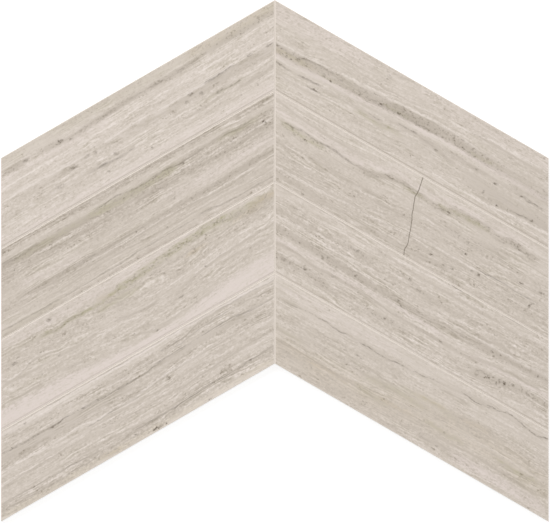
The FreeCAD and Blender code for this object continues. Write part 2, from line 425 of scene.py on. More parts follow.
LEFT_3 = Stone(
    level=1.5, lamina=SWIRLING_LAMINA, saw_line=0.35,
    flow=[(0, -2), (22, 0), (50, 5), (62, 5), (75, 0), (88, -5), (100, -6)],
    beds=[(0, 2), (10, 0), (20, -7), (34, -5), (50, 0), (62, -3), (80, 0), (90, 14)],
    blush=[
        Vein([(8, 8), (25, 9), (40, 9), (52, 8), (66, 4)], 2.2, 1.6, 0.4),
        Vein([(0, 90), (11, 91), (22, 93), (33, 97), (44, 100.5), (53, 103), (59, 104), (66, 103),
              (70.6, 98), (77, 92.5), (84.5, 89), (92, 88), (100, 87)], 5, 1.1, 0.75),
    ],
    cream=[
        Vein([(52, 45), (58, 47.5), (66, 46), (75, 40), (82, 37), (88, 35), (96, 34)], 0.35, 0.3, 0.5),
        Vein([(0, 43), (4.5, 49), (8, 46.6), (13, 40), (17.6, 43)], 0.4, 0.35, 0.45),
        Vein([(72, 50), (80, 46), (92, 42.5), (100, 41)], 0.3, 0.3, 0.5),
        Vein([(37, 57), (44, 59), (50, 62)], 0.35, 0.35, 0.4),
        Vein([(38, 72), (45, 72.5)], 0.4, 0.4, 0.4),
    ],
    taupe=[
        Vein([(0, 46), (4.5, 52), (8, 49), (13, 43), (18, 46)], 0.5, 0.4, 0.35),
        Vein([(66, 57), (70, 54.5), (77, 49), (85, 46.6), (100, 45.5)], 0.6, 0.5, 0.45),
        Vein([(3, 53), (12, 54.5), (20, 54), (25, 55), (35, 54)], 0.6, 0.5, 0.4),
        Vein([(44, 52), (51, 56.8), (57, 58)], 0.6, 0.5, 0.5),
        Vein([(84, 55), (100, 57)], 0.5, 0.4, 0.35),
        Vein([(5, 74), (14, 75)], 0.5, 0.4, 0.5),
        Vein([(23.5, 74), (31.6, 76)], 0.6, 0.5, 0.5),
        Vein([(60, 86), (72, 83), (75, 80)], 0.5, 0.4, 0.35),
        Vein([(47, 78), (53, 84), (57, 88), (60, 89)], 0.5, 0.4, 0.35),
    ],
    ochre=[
        Vein([(95, 11), (98, 12), (100, 12)], 1.6, 1.2, 0.4, 0.8),
        Vein([(88, 17), (94, 18)], 1, 1, 0.2, 0.6),
        Vein([(37, 18), (39, 20)], 1.2, 1, 0.3),
        Vein([(70.5, 25), (73, 25)], 1, 0.8, 0.25, 0.8),
    ],
    olive=[
        Vein([(47, 17), (53, 14.8), (59, 12.5), (65, 10.2), (70.6, 9), (76.5, 6.8), (81, 8), (85, 10.2),
              (92, 9)], 2, 1, [0.75, 0.65, 0.6, 0.75, 0.7, 0.75, 0.7, 0.5, 0.4], 0.9),
        Vein([(17, 22), (21, 24.5), (25, 21.6), (29.4, 22.3), (35.3, 22.7), (41, 19.3), (45.6, 18.2)],
             0.9, 0.7, 0.7),
        Vein([(40, 30), (44, 29), (48, 31)], 1.4, 1.2, 0.35),
    ],
    umber=[
        Vein([(79, 7.5), (83, 10.5), (86, 11)], 0.6, 0.5, 0.4),
        Vein([(62, 12), (66, 10), (71, 13), (73, 11)], 0.5, 0.5, 0.3),
        Vein([(47.5, 17.5), (50, 17), (54, 15)], 0.5, 0.5, 0.3),
        Vein([(17, 22), (21, 24.4), (25, 22), (29, 22)], 0.4, 0.35, 0.5),
    ],
    pits=[
        Pit(3, 37, 1.2, 1.5, 0.4), Pit(4.8, 34.5, 3.4, 1.8, 0.7), Pit(15, 64.5, 1.2, 1.2, 0.4),
        Pit(17.6, 8.6, 2, 2, 0.7), Pit(21.3, 54, 2, 1.2, 0.4), Pit(32, 42, 1.2, 1.2, 0.4),
        Pit(48.5, 78.5, 1.6, 1.2, 0.5), Pit(57, 89.3, 2.6, 1, 0.55), Pit(60, 32, 1.6, 3, 0.25),
        Pit(66, 67, 2.6, 1.3, 0.6), Pit(75, 49.5, 1, 1.4, 0.4),
    ],
)

LEFT_4 = Stone(
    level=0, grain=1.25, lamina=LONG_LAMINA,
    flow=[(0, 1), (20, 2), (40, 2), (55, 2), (70, -3), (80, -4), (100, 0)],
    beds=[(0, 10), (7, 12), (12, -5), (20, 0), (32, 0), (41, -6), (48, 4), (60, 0), (72, 3), (87, -8),
          (97, 10)],
    honey=[Vein([(0, 97), (30, 97), (60, 96.5), (100, 96)], 1.6, 1, 0.25)],
    cream=[
        Vein([(0, 4.3), (51, 3.5), (75, 3), (100, 2.8)], 0.5, 0.4, 0.4),
        Vein([(40, 20), (47, 19.5), (53, 17)], 0.4, 0.35, 0.4),
        Vein([(0, 46.6), (7, 45.5), (18, 47.7), (29.4, 44.3), (35, 48.9), (41, 46.6), (48, 48.9),
              (53, 45.5), (62, 42), (70.6, 41)], 0.5, 0.4, 0.6),
        Vein([(31, 54), (40, 58), (50, 60)], 0.35, 0.35, 0.35),
        Vein([(0, 60), (18, 60), (31, 58), (38, 63)], 0.35, 0.35, 0.4),
    ],
    taupe=[
        Vein([(0, 7), (15, 10), (22, 8)], 0.4, 0.35, 0.3, 0.6),
        Vein([(40, 16), (45.6, 17), (51, 13.6)], 0.6, 0.5, 0.45),
        Vein([(59, 28), (75, 26.5), (90, 28)], 1.3, 1.2, 0.3),
        Vein([(0, 31), (12, 34), (25, 34), (42, 33)], 2.6, 2, 0.35),
        Vein([(53, 47), (62, 43.5), (70, 42.5), (85, 42)], 0.4, 0.35, 0.35),
        Vein([(37, 50), (60, 56), (72, 53)], 0.4, 0.35, 0.35),
        Vein([(10, 56), (30, 54.5), (50, 54)], 0.4, 0.35, 0.35),
        Vein([(0, 63), (20, 62), (31, 61), (50, 65), (66, 66)], 0.4, 0.35, 0.35),
        Vein([(66, 67.5), (85, 63), (100, 61)], 0.5, 0.4, 0.4),
        Vein([(30, 78), (50, 80), (66, 81)], 0.4, 0.35, 0.3),
        Vein([(0, 88.6), (7, 89.8), (18, 91)], 0.4, 0.35, 0.4),
    ],
    ochre=[Vein([(38, 94), (42, 95)], 1, 0.8, 0.3)],
    umber=[
        Vein([(0, 1.5), (44, 2), (100, 1.2)], 0.25, 0.25, [0.4, 0.35, 0.25]),
        Vein([(59, 13.6), (66, 13.6), (71, 8), (81, 5), (100, 7)], 0.35, 0.3, 0.35),
        Vein([(66, 18), (75, 13), (85, 12), (100, 17)], 0.3, 0.3, 0.3),
        Vein([(0, 26), (6, 27), (15, 27.3), (20.6, 27.7), (24, 25.5), (29.4, 26.8), (38, 27.7),
              (51.5, 28.4), (56, 26), (62.5, 24), (70, 23.2), (77, 22), (83, 22), (88, 24), (93.4, 25.7),
              (100, 25.5)], 0.5, 0.4,
             [0.55, 0.55, 0.55, 0.55, 0.5, 0.55, 0.55, 0.55, 0.5, 0.4, 0.4, 0.4, 0.4, 0.35, 0.35, 0.3]),
        Vein([(34, 50.5), (41, 48.8), (50, 50.5)], 0.3, 0.3, 0.45),
        Vein([(50, 84.5), (57, 85), (65, 84.5), (70.6, 83), (77, 82), (85, 82.3), (92, 80.7), (100, 79.5)],
             0.4, 0.4, 0.5),
        Vein([(0, 81.4), (12, 82.3), (28, 83), (35, 85)], 0.35, 0.3, 0.4),
    ],
    pits=[
        Pit(4, 26, 1, 1, 0.5), Pit(4.4, 82.3, 1, 0.8, 0.5), Pit(8.8, 7, 1.4, 1.2, 0.6),
        Pit(12, 82.3, 1, 1, 0.7), Pit(18.4, 18, 1.4, 1.2, 0.4), Pit(18.7, 28.4, 1.5, 1.1, 0.8),
        Pit(27.6, 83, 1, 1, 0.6), Pit(28, 25.5, 1, 0.9, 0.6), Pit(35.5, 27.5, 1, 0.8, 0.5),
        Pit(36, 93.6, 1.2, 1.2, 0.5), Pit(49.3, 90, 1.4, 1, 0.6), Pit(57.5, 96.6, 5, 1.6, 0.95),
        Pit(60.5, 97.5, 1.5, 1, 0.7), Pit(61.4, 49, 1.8, 2.2, 0.6), Pit(76.8, 98.2, 2, 1, 0.7),
        Pit(78, 82.3, 1.4, 1, 0.9), Pit(80.5, 81.4, 1.2, 1, 0.6), Pit(91.5, 81, 1.4, 1, 0.8),
        Pit(95.6, 80, 1, 0.8, 0.5),
    ],
)

RIGHT_1 = Stone(
    level=-0.5, grain=1.1, lamina=CALM_LAMINA, saw_line=0.5,
    flow=[(0, 9), (10, 8), (20, 4), (35, 3), (50, -1), (60, -3), (68, -3), (80, -2), (100, 0)],
    beds=[(0, 0), (14, 3), (28, 0), (36, 3), (42, -4), (49, -1), (54, 8), (62, 2), (85, 1), (100, 2)],
    blush=[
        Vein([(58, 9), (75, 8), (100, 8)], 3, 2.5, 0.25),
        Vein([(0, 12), (12, 10), (26, 9)], 3.5, 2.5, 0.4),
        Vein([(0, 60.5), (18, 57), (33, 54.5), (47, 50), (55, 51), (62.5, 46.8), (73, 49), (85, 49),
              (100, 47.8)], 1.3, 0.8, 0.6),
    ],
    cream=[
        Vein([(66, 22.7), (73.5, 20.4), (81, 17), (100, 16.4)], 0.5, 0.4, 0.5),
        Vein([(37, 30), (50, 27), (60, 23.5)], 0.35, 0.35, 0.35),
        Vein([(0, 45.5), (11, 43), (22, 40), (33, 36.5), (44, 35), (51, 33.5), (60, 32), (66, 33),
              (75, 36)], 0.5, 0.4, 0.5),
        Vein([(4, 79), (18, 76), (30, 73.5)], 0.35, 0.35, 0.4),
        Vein([(59, 91), (73.5, 92), (85, 87.5), (92, 86.4), (100, 84.5)], 0.6, 0.5, 0.5),
    ],
    taupe=[
        Vein([(73, 21.6), (85, 20.5), (95, 21)], 0.6, 0.5, 0.35),
        Vein([(22, 25), (37, 27), (51, 26)], 0.35, 0.3, 0.3),
        Vein([(0, 52.5), (10, 51.5), (20, 48.5), (35, 46.6), (42, 44), (50, 42.3), (60, 40), (66, 39.8),
              (70, 41), (76, 42), (84, 42.5), (92, 43), (100, 43.5)], 2.7, 0.5,
             [0.35, 0.35, 0.35, 0.5, 0.55, 0.6, 0.65, 0.65, 0.52, 0.35, 0.25, 0.2, 0.25], 1),
        Vein([(90, 55), (95, 54), (100, 52)], 1.4, 1, 0.45),
        Vein([(64, 55.5), (69, 56.5)], 0.6, 0.5, 0.45),
        Vein([(72, 59), (76, 58.5)], 0.6, 0.5, 0.5),
        Vein([(56, 61), (60, 63), (63, 66)], 1.1, 0.8, 0.45),
        Vein([(32, 70.5), (38, 70), (44, 67), (50, 58)], 0.5, 0.4, 0.4),
        Vein([(76, 75), (85, 77), (100, 75)], 2.6, 2, 0.35),
        Vein([(0, 78), (6, 81), (15, 80.5)], 0.5, 0.4, 0.3),
        Vein([(75, 87), (85, 84), (100, 81)], 0.5, 0.4, 0.35),
    ],
    ochre=[Vein([(4, 54), (8, 53), (12, 51)], 1.4, 1, 0.2, 1)],
    olive=[
        Vein([(74, 44), (78, 43)], 0.8, 0.6, 0.45),
        Vein([(43, 46), (48, 45.5)], 0.8, 0.6, 0.45),
        Vein([(5, 53), (9, 52)], 1.3, 1, 0.35, 0.8),
        Vein([(17, 54), (20, 53)], 0.8, 0.6, 0.4),
        Vein([(33, 70.5), (38, 71), (42, 69)], 1.2, 0.9, 0.5),
    ],
    umber=[
        Vein([(0, 48), (6, 49.5), (14, 45), (20, 44.5)], 0.5, 0.5, 0.35, 0.8),
        Vein([(36, 50), (45, 46.5), (57, 46)], 0.5, 0.5, 0.35, 0.8),
        Vein([(47, 58), (51, 57)], 0.35, 0.3, 0.5),
        Vein([(89, 60), (92, 59)], 0.4, 0.35, 0.55),
        Vein([(93, 61), (97, 60.5)], 0.4, 0.35, 0.55),
        Vein([(35, 65.5), (37, 66)], 0.35, 0.3, 0.5),
        Vein([(10, 68), (16, 66.5)], 0.5, 0.4, 0.5),
        Vein([(0, 67), (4, 68.5)], 0.5, 0.4, 0.5),
        Vein([(13, 75), (16.3, 74)], 0.4, 0.35, 0.6),
        Vein([(88, 82), (94, 81)], 0.4, 0.35, 0.5),
    ],
    pits=[
        Pit(1.8, 67.7, 2.4, 1.2, 0.6), Pit(2.5, 49, 1.2, 1.2, 0.5), Pit(4.5, 52.5, 1.2, 1.4, 0.55),
        Pit(6, 55, 1.4, 1, 0.55), Pit(7, 47.5, 1.2, 1.2, 0.5), Pit(8.5, 51, 2, 2, 0.6),
        Pit(10.5, 46, 1.8, 1.2, 0.6), Pit(11.5, 53, 1.2, 1.2, 0.5), Pit(14.5, 74.5, 2, 0.9, 0.6),
        Pit(15, 49.5, 1, 1, 0.45), Pit(18, 53, 1.8, 1.4, 0.55), Pit(19, 44, 0.9, 0.9, 0.5),
        Pit(20.5, 54, 1.2, 1.4, 0.7), Pit(31, 50, 1.4, 1.8, 0.8), Pit(38.5, 49, 2, 2.2, 0.8),
        Pit(41, 15.5, 1.2, 1, 0.5), Pit(42, 11.5, 3, 1.8, 0.35), Pit(45.5, 46, 2.6, 1.6, 0.65),
        Pit(51.5, 46, 1.2, 1.6, 0.7), Pit(53, 36.5, 0.9, 0.9, 0.5), Pit(55.5, 5, 2, 1, 0.3),
        Pit(58.8, 63.5, 2.6, 1.6, 0.65), Pit(68.8, 44, 1.4, 1.8, 0.7), Pit(73, 46, 1.4, 1.2, 0.6),
        Pit(73.5, 59, 2.4, 1, 0.5), Pit(76, 79.5, 1.4, 2, 0.55), Pit(80.5, 62.5, 2.2, 1.4, 0.7),
        Pit(81, 86.4, 1.4, 1.4, 0.7), Pit(81.5, 45, 1, 1, 0.6), Pit(90, 60, 1.4, 1.2, 0.5),
        Pit(93.8, 80.5, 1.4, 1.6, 0.6), Pit(98.5, 3, 1.2, 1.6, 0.5),
    ],
)

RIGHT_2 = Stone(
    level=-1, lamina=WAVY_LAMINA, saw_line=0.2,
    flow=[(0, 2), (25, 3), (45, 0), (60, -1), (75, -2), (100, -3)],
    beds=[(0, 5), (10, 4), (20, 6), (30, 2), (40, 0), (52, -2), (66, -2), (84, -6), (100, -1)],
    crack=[(0, 54.2), (9, 53.3), (19, 52.4), (27, 51.3), (37.5, 50.7), (46.6, 50.2), (57, 49.9),
           (68, 49.4), (77, 48.9), (86, 48.3), (92, 47.4), (98, 47.1)],
    blush=[
        Vein([(60, 17), (66, 11.4), (75, 11.4), (90, 8)], 1.8, 1.5, 0.45),
        Vein([(37, 20), (45, 13.6), (53, 16)], 1.4, 1.2, 0.5),
        Vein([(0, 21), (7, 21.6), (22, 22.7), (31, 25)], 1.5, 1.3, 0.55),
    ],
    cream=[
        Vein([(51.5, 69.3), (73.5, 70.5), (83, 66), (92, 68)], 0.5, 0.4, 0.3),
        Vein([(0, 83), (15, 82), (22, 79.5), (37, 77.3), (47, 75)], 0.6, 0.5, 0.35),
    ],
    taupe=[
        Vein([(0, 8), (10, 14), (25, 16), (33, 15)], 0.6, 0.5, 0.3),
        Vein([(59.5, 25.5), (63, 23.2), (65.4, 18.2), (69, 17), (77, 16), (82.4, 19.3), (87, 16), (90, 17),
              (93, 19.3)], 1.5, 0.9, 0.65, 0.8),
        Vein([(34, 31.8), (38, 27.3), (42.6, 21.6), (47, 20.5), (50.7, 22.7), (53, 23.2)],
             1.4, 0.9, 0.65, 0.5),
        Vein([(22, 37.5), (30, 38)], 0.4, 0.35, 0.4),
        Vein([(77, 38), (80, 36), (82, 40)], 1.6, 1.2, 0.35, 0.8),
        Vein([(52, 41), (60, 43), (68, 44)], 0.7, 0.6, 0.35),
        Vein([(65, 42), (69, 44), (73, 43)], 1.6, 1.4, 0.35, 0.8),
        Vein([(14.7, 51), (25, 52.5), (37, 51)], 0.9, 0.7, 0.35),
        Vein([(0, 55), (6, 56)], 0.6, 0.5, 0.4),
        Vein([(38, 58.6), (43, 57)], 0.5, 0.4, 0.45),
        Vein([(52, 72), (66, 73), (74, 73)], 0.4, 0.35, 0.35),
        Vein([(0, 79), (15, 78), (30, 76)], 0.5, 0.4, 0.3),
        Vein([(0, 90), (15, 92), (45, 92), (60, 88)], 1.3, 1, 0.25),
    ],
    olive=[
        Vein([(64, 22), (69, 18), (75, 18)], 1.2, 1, 0.45, 0.8),
        Vein([(49, 23), (53, 23.4)], 0.8, 0.6, 0.5),
        Vein([(6, 31), (11, 32.5), (15, 32)], 1.4, 1, 0.5, 0.8),
    ],
    umber=[
        Vein([(43, 22), (47, 20.7), (51, 22.8)], 0.35, 0.3, 0.4),
        Vein([(6, 28.4), (11, 26.8), (16, 29), (20.6, 27.7), (25, 29.5), (28, 30.7)], 0.5, 0.5, 0.5),
        Vein([(76.5, 68), (83, 66.4), (88, 68), (94, 67)], 0.35, 0.35, 0.55),
    ],
    pits=[
        Pit(1, 55, 1.2, 1.2, 0.5), Pit(10, 96.6, 1.4, 1, 0.6), Pit(11, 35.2, 2, 1.4, 0.5),
        Pit(17, 96, 1, 0.8, 0.5), Pit(30.6, 61.4, 1.2, 1.2, 0.55), Pit(30.7, 51.5, 0.9, 0.9, 0.4),
        Pit(47, 55.7, 1.4, 1.2, 0.6), Pit(57, 81.2, 2.3, 1.3, 0.95), Pit(61.8, 85.2, 2, 1.1, 0.55),
        Pit(63.5, 23.2, 2.4, 1.3, 0.8), Pit(64.7, 83.4, 1.8, 1.2, 0.5), Pit(69.9, 58.4, 1.2, 0.9, 0.85),
        Pit(72, 73.5, 1.6, 1, 0.4), Pit(74.3, 73.2, 1.8, 1.8, 0.75), Pit(87.5, 18.2, 4, 2.4, 0.5),
        Pit(89.5, 19.5, 1.4, 1, 0.7), Pit(90, 55.2, 2, 1.5, 0.6), Pit(93, 75, 1.1, 3.8, 0.7),
        Pit(94, 70.5, 2.4, 1.4, 0.6), Pit(97.4, 53.4, 2.8, 1.2, 0.6),
    ],
)

RIGHT_3 = Stone(
    level=-1, grain=1.25, lamina=WAVY_LAMINA, saw_line=0.38,
    flow=[(0, 0), (20, 1), (45, 3), (60, 3), (75, -1), (100, -5)],
    beds=[(0, 6), (12, 3), (24, -3), (36, -1), (51, -5), (61, 4), (70, 3), (82, -3), (96, 2)],
    blush=[
        Vein([(0, 61.4), (15, 59.5), (29, 62.5), (44, 60), (60, 62)], 1, 0.8, 0.5),
        Vein([(73.5, 68), (85, 66), (100, 63.6)], 1, 0.8, 0.5),
    ],
    cream=[
        Vein([(45, 8), (60, 5), (75, 9)], 0.5, 0.4, 0.4),
        Vein([(0, 36), (10, 34), (20, 38), (35, 36)], 0.5, 0.4, 0.4),
        Vein([(76, 44), (90, 42), (100, 39)], 0.6, 0.5, 0.4),
        Vein([(85, 93), (93, 88), (100, 87)], 0.6, 0.5, 0.4),
        Vein([(30, 96), (60, 97), (100, 95)], 1, 0.8, 0.25),
    ],
    taupe=[
        Vein([(0, 1.5), (18, 1), (30, 2)], 0.4, 0.35, 0.5),
        Vein([(40, 10), (55, 13), (75, 13), (100, 16)], 0.5, 0.4, 0.35),
        Vein([(27, 24), (33, 25)], 1.6, 1.2, 0.25, 0.8),
        Vein([(48, 21), (54, 28)], 1.3, 1, 0.25, 0.7),
        Vein([(0, 28), (9, 29), (20, 26)], 0.6, 0.5, 0.35),
        Vein([(55, 33), (75, 27), (100, 25)], 0.4, 0.35, 0.3),
        Vein([(78, 41), (82, 36.4), (87.5, 40.5)], 0.7, 0.5, 0.55),
        Vein([(0, 50), (9, 50), (18, 51), (29.4, 51.8), (37, 52.7), (47, 53.4), (56, 54), (63, 52.7),
              (69, 50.5), (76.5, 48.9), (82.4, 48.2), (91, 47.3), (100, 45.5)], 1.7, 1.2,
             [0.4, 0.42, 0.45, 0.45, 0.4, 0.4, 0.4, 0.3, 0.35, 0.45, 0.45, 0.4, 0.4], 0.6),
        Vein([(0, 66.4), (6.6, 64.8), (14.7, 68.2), (21.3, 66.4), (31, 67), (41, 69.3), (51.5, 70.5),
              (60, 71), (68.4, 71), (77, 64.8), (86, 61.4), (95.6, 60.2)], 0.8, 0.6, 0.55),
        Vein([(90, 74), (96, 72)], 1.4, 0.9, 0.3, 0.9),
        Vein([(75, 81), (80, 80), (84, 77), (89, 73)], 1.8, 1, 0.35, 1),
        Vein([(0, 80), (5, 80), (10, 78), (14, 79)], 1.8, 1.2, 0.3, 0.9),
        Vein([(36, 83), (41, 81), (44, 81)], 1.4, 0.9, 0.3, 0.9),
        Vein([(15, 86), (21, 85)], 0.6, 0.5, 0.4),
        Vein([(68, 88), (75, 87)], 0.6, 0.5, 0.4),
    ],
    umber=[
        Vein([(86, 0.8), (90, 1)], 0.4, 0.3, 0.5),
        Vein([(68, 1), (71, 1.2)], 0.4, 0.3, 0.7),
    ],
    pits=[
        Pit(3, 79.5, 3, 2, 0.55), Pit(7.5, 16, 2.6, 1.2, 0.55), Pit(9.2, 51, 1.2, 1.4, 0.55),
        Pit(11, 77, 2, 1.6, 0.6), Pit(17.5, 52.8, 1.5, 1.6, 0.95), Pit(19.5, 50, 1.4, 1.4, 0.5),
        Pit(21, 68, 1.4, 1.2, 0.5), Pit(28, 24, 1.2, 1.6, 0.35), Pit(29.4, 52.2, 1.4, 1.4, 0.6),
        Pit(30, 24, 2.4, 2, 0.5), Pit(31.5, 55.5, 1.2, 1, 0.5), Pit(32, 25, 1.6, 1.6, 0.4),
        Pit(36.5, 54, 1.2, 1, 0.7), Pit(40, 81, 1.4, 1.4, 0.6), Pit(42.5, 80.7, 1.3, 1.2, 0.7),
        Pit(45, 53, 1.4, 1.2, 0.5), Pit(46.5, 56.5, 2.4, 1.2, 0.5), Pit(49.5, 21, 1.4, 1.2, 0.5),
        Pit(52.5, 27.5, 2.4, 1.2, 0.5), Pit(56.5, 56, 1.4, 1.6, 0.5), Pit(60.5, 71, 1.2, 0.8, 0.5),
        Pit(68, 70.5, 1.6, 1, 0.5), Pit(78, 79, 1.6, 1.4, 0.75), Pit(79.4, 49, 1.6, 1.2, 0.9),
        Pit(80.8, 80.7, 1.4, 1, 0.6), Pit(82.4, 47.5, 1.2, 1, 0.5), Pit(84, 76.5, 1.6, 1.3, 0.85),
        Pit(87, 73, 1.4, 1.4, 0.6), Pit(92.5, 73.8, 1.4, 1.4, 0.95), Pit(95, 72.5, 1.6, 1.2, 0.6),
        Pit(96, 47.5, 1, 0.8, 0.5),
    ],
)

RIGHT_4 = Stone(
    level=-0.5,
    flow=[(0, 2), (25, 1), (50, 1), (70, -2), (100, -4)],
    beds=[(0, 7), (12, 6), (30, 1), (50, -4), (62, 0), (71, -4), (88, -4), (100, 1)],
    blush=[
        Vein([(10, 10), (25, 12), (40, 10)], 2.4, 2, 0.3),
        Vein([(70, 89), (80, 88), (92, 89)], 2.4, 1.6, 0.6),
    ],
    cream=[
        Vein([(70, 58), (80, 57), (95, 60)], 0.5, 0.4, 0.4),
        Vein([(0, 67), (22, 67.7), (40, 62)], 0.4, 0.4, 0.4),
    ],
    taupe=[
        Vein([(0, 24), (11, 22.5), (28, 22.5), (48, 21.5), (60, 16), (70, 12.5), (82, 9), (92, 10),
              (100, 9)], 1, 1, 0.2),
        Vein([(61, 22.7), (64.7, 21), (70, 21.6)], 0.4, 0.35, 0.45),
        Vein([(10, 44), (30, 44), (45, 50)], 0.4, 0.35, 0.3),
        Vein([(75, 45), (85, 46), (93, 50)], 0.5, 0.4, 0.35),
        Vein([(15, 52), (30, 54), (45, 54)], 0.4, 0.35, 0.3),
        Vein([(0, 60), (11, 59)], 0.6, 0.5, 0.4),
        Vein([(0, 71.6), (7, 71.6), (26, 73)], 0.5, 0.4, 0.45),
        Vein([(60, 78), (70, 75), (95, 78)], 0.5, 0.4, 0.35),
        Vein([(54, 88), (61, 85)], 0.7, 0.6, 0.5),
    ],
    ochre=[
        Vein([(70, 42), (75, 40)], 1.5, 1.5, 0.25),
        Vein([(54, 43), (60, 42)], 1, 1, 0.3),
        Vein([(15, 78), (35, 74), (55, 62), (75, 56), (95, 62)], 6, 5, 0.13),
        Vein([(41, 72), (48, 70)], 1.2, 1.2, 0.28),
        Vein([(15, 76), (20, 74), (25, 76)], 1.2, 1.2, 0.25),
    ],
    olive=[
        Vein([(51, 46), (58, 42), (63, 45)], 1.5, 1.5, 0.28),
        Vein([(37, 55), (45, 52), (51, 54)], 1.6, 1.6, 0.3),
        Vein([(0, 58), (8, 59)], 0.8, 0.8, 0.25),
        Vein([(83, 65), (88, 66), (93, 64)], 1.1, 0.9, 0.5),
        Vein([(58, 67), (63, 70), (66, 68)], 1, 1, 0.4),
        Vein([(33, 72), (37, 75)], 1.5, 1.5, 0.3),
    ],
    umber=[
        Vein([(78.3, 10.2), (81.6, 9), (85.3, 6.4), (88.2, 7.3), (92, 10.2), (95.6, 12.5), (97.8, 11),
              (100, 9)], 0.35, 0.3, 0.6),
        Vein([(70, 12.6), (72.4, 14), (74.6, 13.6), (76, 12)], 0.35, 0.3, 0.5),
        Vein([(54, 19), (56, 16.8), (58, 16.4), (59, 15.8)], 0.3, 0.3, 0.5),
        Vein([(34, 22), (36.8, 22.3), (40.4, 23.2), (44, 21.6), (46, 21)], 0.35, 0.3, 0.6),
        Vein([(3.5, 25.7), (8, 23.9), (11, 21.6), (14.7, 21.6), (19, 21), (22.8, 22.7), (26, 22)],
             0.3, 0.3, 0.45),
    ],
    pits=[
        Pit(17, 57, 1, 1, 0.35), Pit(25.4, 40.5, 1, 0.9, 0.35), Pit(30, 38.6, 2, 1, 0.35),
        Pit(31.5, 39.5, 1.6, 0.8, 0.35), Pit(44, 38.6, 2.2, 1, 0.35), Pit(46, 36.5, 1.2, 0.8, 0.35),
        Pit(54.4, 67, 1.2, 1, 0.45), Pit(59, 87.5, 1.6, 1, 0.5), Pit(62, 68.5, 1.2, 1.6, 0.3),
        Pit(90, 65.2, 1.8, 1.2, 0.5), Pit(92.6, 97.7, 1.6, 0.8, 0.6),
    ],
)

STONES = dict(zip(STRIP_NODES, (LEFT_1, LEFT_2, LEFT_3, LEFT_4, RIGHT_1, RIGHT_2, RIGHT_3, RIGHT_4)))


class Strip:
    """Where a strip lies, read from its solid. A left strip climbs to the right, and a right one falls."""

    TOUCH = 0.01 * MM

    def __init__(self, node):
        self.node = node
        self.low, self.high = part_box(node)
        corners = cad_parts[node].data.vertices
        left_end = [v.co.y for v in corners if v.co.x - self.low.x < self.TOUCH]
        self.mitre = max(left_end) - min(left_end)
        self.run = self.high.x - self.low.x
        fall = self.high.y - self.low.y - self.mitre
        self.climb = fall if min(left_end) - self.low.y < self.TOUCH else -fall
        self.slope = math.atan2(self.climb, self.run)
        self.length = self.run / math.cos(self.slope)
        self.width = self.mitre * math.cos(self.slope)
        self.corner = Vector((self.low.x, max(left_end), 0.0))
        side, row = node.split("_")[1:]
        self.row = int(row)
        self.spine_end = 1 if side == "left" else 0

    def place(self, along, down, height):
        """The point at these shares of the strip's length and width."""
        x = self.corner.x + along * self.run
        y = self.corner.y + along * self.climb - down * self.mitre
        return Vector((x, y, height))


# The stone's material

# Noises by name, with their grains in millimetres along, down and into the stone
LOOSE_GRAINS = {
    "sway": Grain(40, 12, 25, 2.0),
    "rag": Grain(5, 2.5, 4, 3.0, 0.6),
    "speck": Grain(1.2, 0.9, 1, 2.0, 0.5),
    "patch": Grain(18, 6, 12, 2.0),
}
BEDDED_GRAINS = {
    "broad": Grain(50, 3, 14, 4.0, 0.6),
    "streak": Grain(40, 1.2, 10, 4.0, 0.7),
    "dash": Grain(6, 0.8, 3, 2.0, 0.6),
    "fleck": Grain(1.3, 0.8, 1, 2.0, 0.6),
    "cluster": Grain(11, 2.6, 6, 2.0, 0.5),
}
LAMINA_DEPTH = 12
SEED_STEP = 37.0

# How far noises push the beds, the veins and the pits aside, in millimetres
BED_WANDER = {"sway": 4.0, "rag": 1.4}
VEIN_WANDER = {"rag": 1.8, "dash": 0.6, "fleck": 0.3}
PIT_WANDER_ALONG = {"rag": 1.6, "fleck": 1.6}
PIT_WANDER_DOWN = {"dash": 1.2, "speck": 1.2}
CRACK_WANDER = 0.7

# How far noises break up what they are mixed into
VEIN_BREAKS = {"streak": 0.05, "dash": 0.05, "patch": 0.08}
VEIN_UNEVENNESS = {"streak": 1.4, "dash": 2.4, "fleck": 3.0, "patch": 1.2}
PIT_UNEVENNESS = {"fleck": 3.0, "speck": 3.0}
LOWER_EDGE_SHADE_UNEVENNESS = 0.5
LAMINA_PLACES = {"broad": 2.0, "patch": 2.0}
RELIEF = {"dash": 0.5, "fleck": 0.5}

# Levels that noises and beds add
FINE_LEVELS = {"dash": 30.0, "fleck": 45.0}
BROAD_LEVELS = 20.0
STREAK_LEVELS = 36.0
GRAIN_LEVELS = 26.0
BED_RANGE = 40.0
BED_CONTRAST = 0.75
TONE_LEVELS = {"deep": -60.0, "dusk": -30.0, "beige": 0.0, "pale": 30.0}
LOWEST_LEVEL = min(TONE_LEVELS.values())
LEVEL_SPAN = max(TONE_LEVELS.values()) - LOWEST_LEVEL

# Where a value begins to show, where it shows in full, and how strongly
LAMINA_STEP = (-0.2, 0.5)
GRAIN_STEP = (0.03, 0.2)
BUSY_STEP = (-0.6, 0.6, 0.9)
CAST_STEP = (0.0, 0.3, 0.12)
LOOSE_SPECK_STEP = (0.18, 0.3, 0.3)
VEIN_SPECK_STEP = (0.03, 0.22, 0.5)
PIT_STEP = (1.3, 0.4)
EDGE_STEP = (0.5, 0.2, 0.9)
EDGE_DEPTHS = (2.4, 0.9)

# Darker beds and some patches are busier with fine marks
BUSY_BEDS = 0.06
BUSY_PATCHES = 2.0
LEAST_BUSY = 0.55

# How far the beds and the veins lean as they go down into the stone
BED_DIP = 0.12
VEIN_DIP = 0.6 * BED_DIP

# The stretch over which a vein fades out, in percent of the strip: the shortest, and more for a broad vein
SHORTEST_FADE = 2.0
FADE_FOR_WIDTH = 3.0
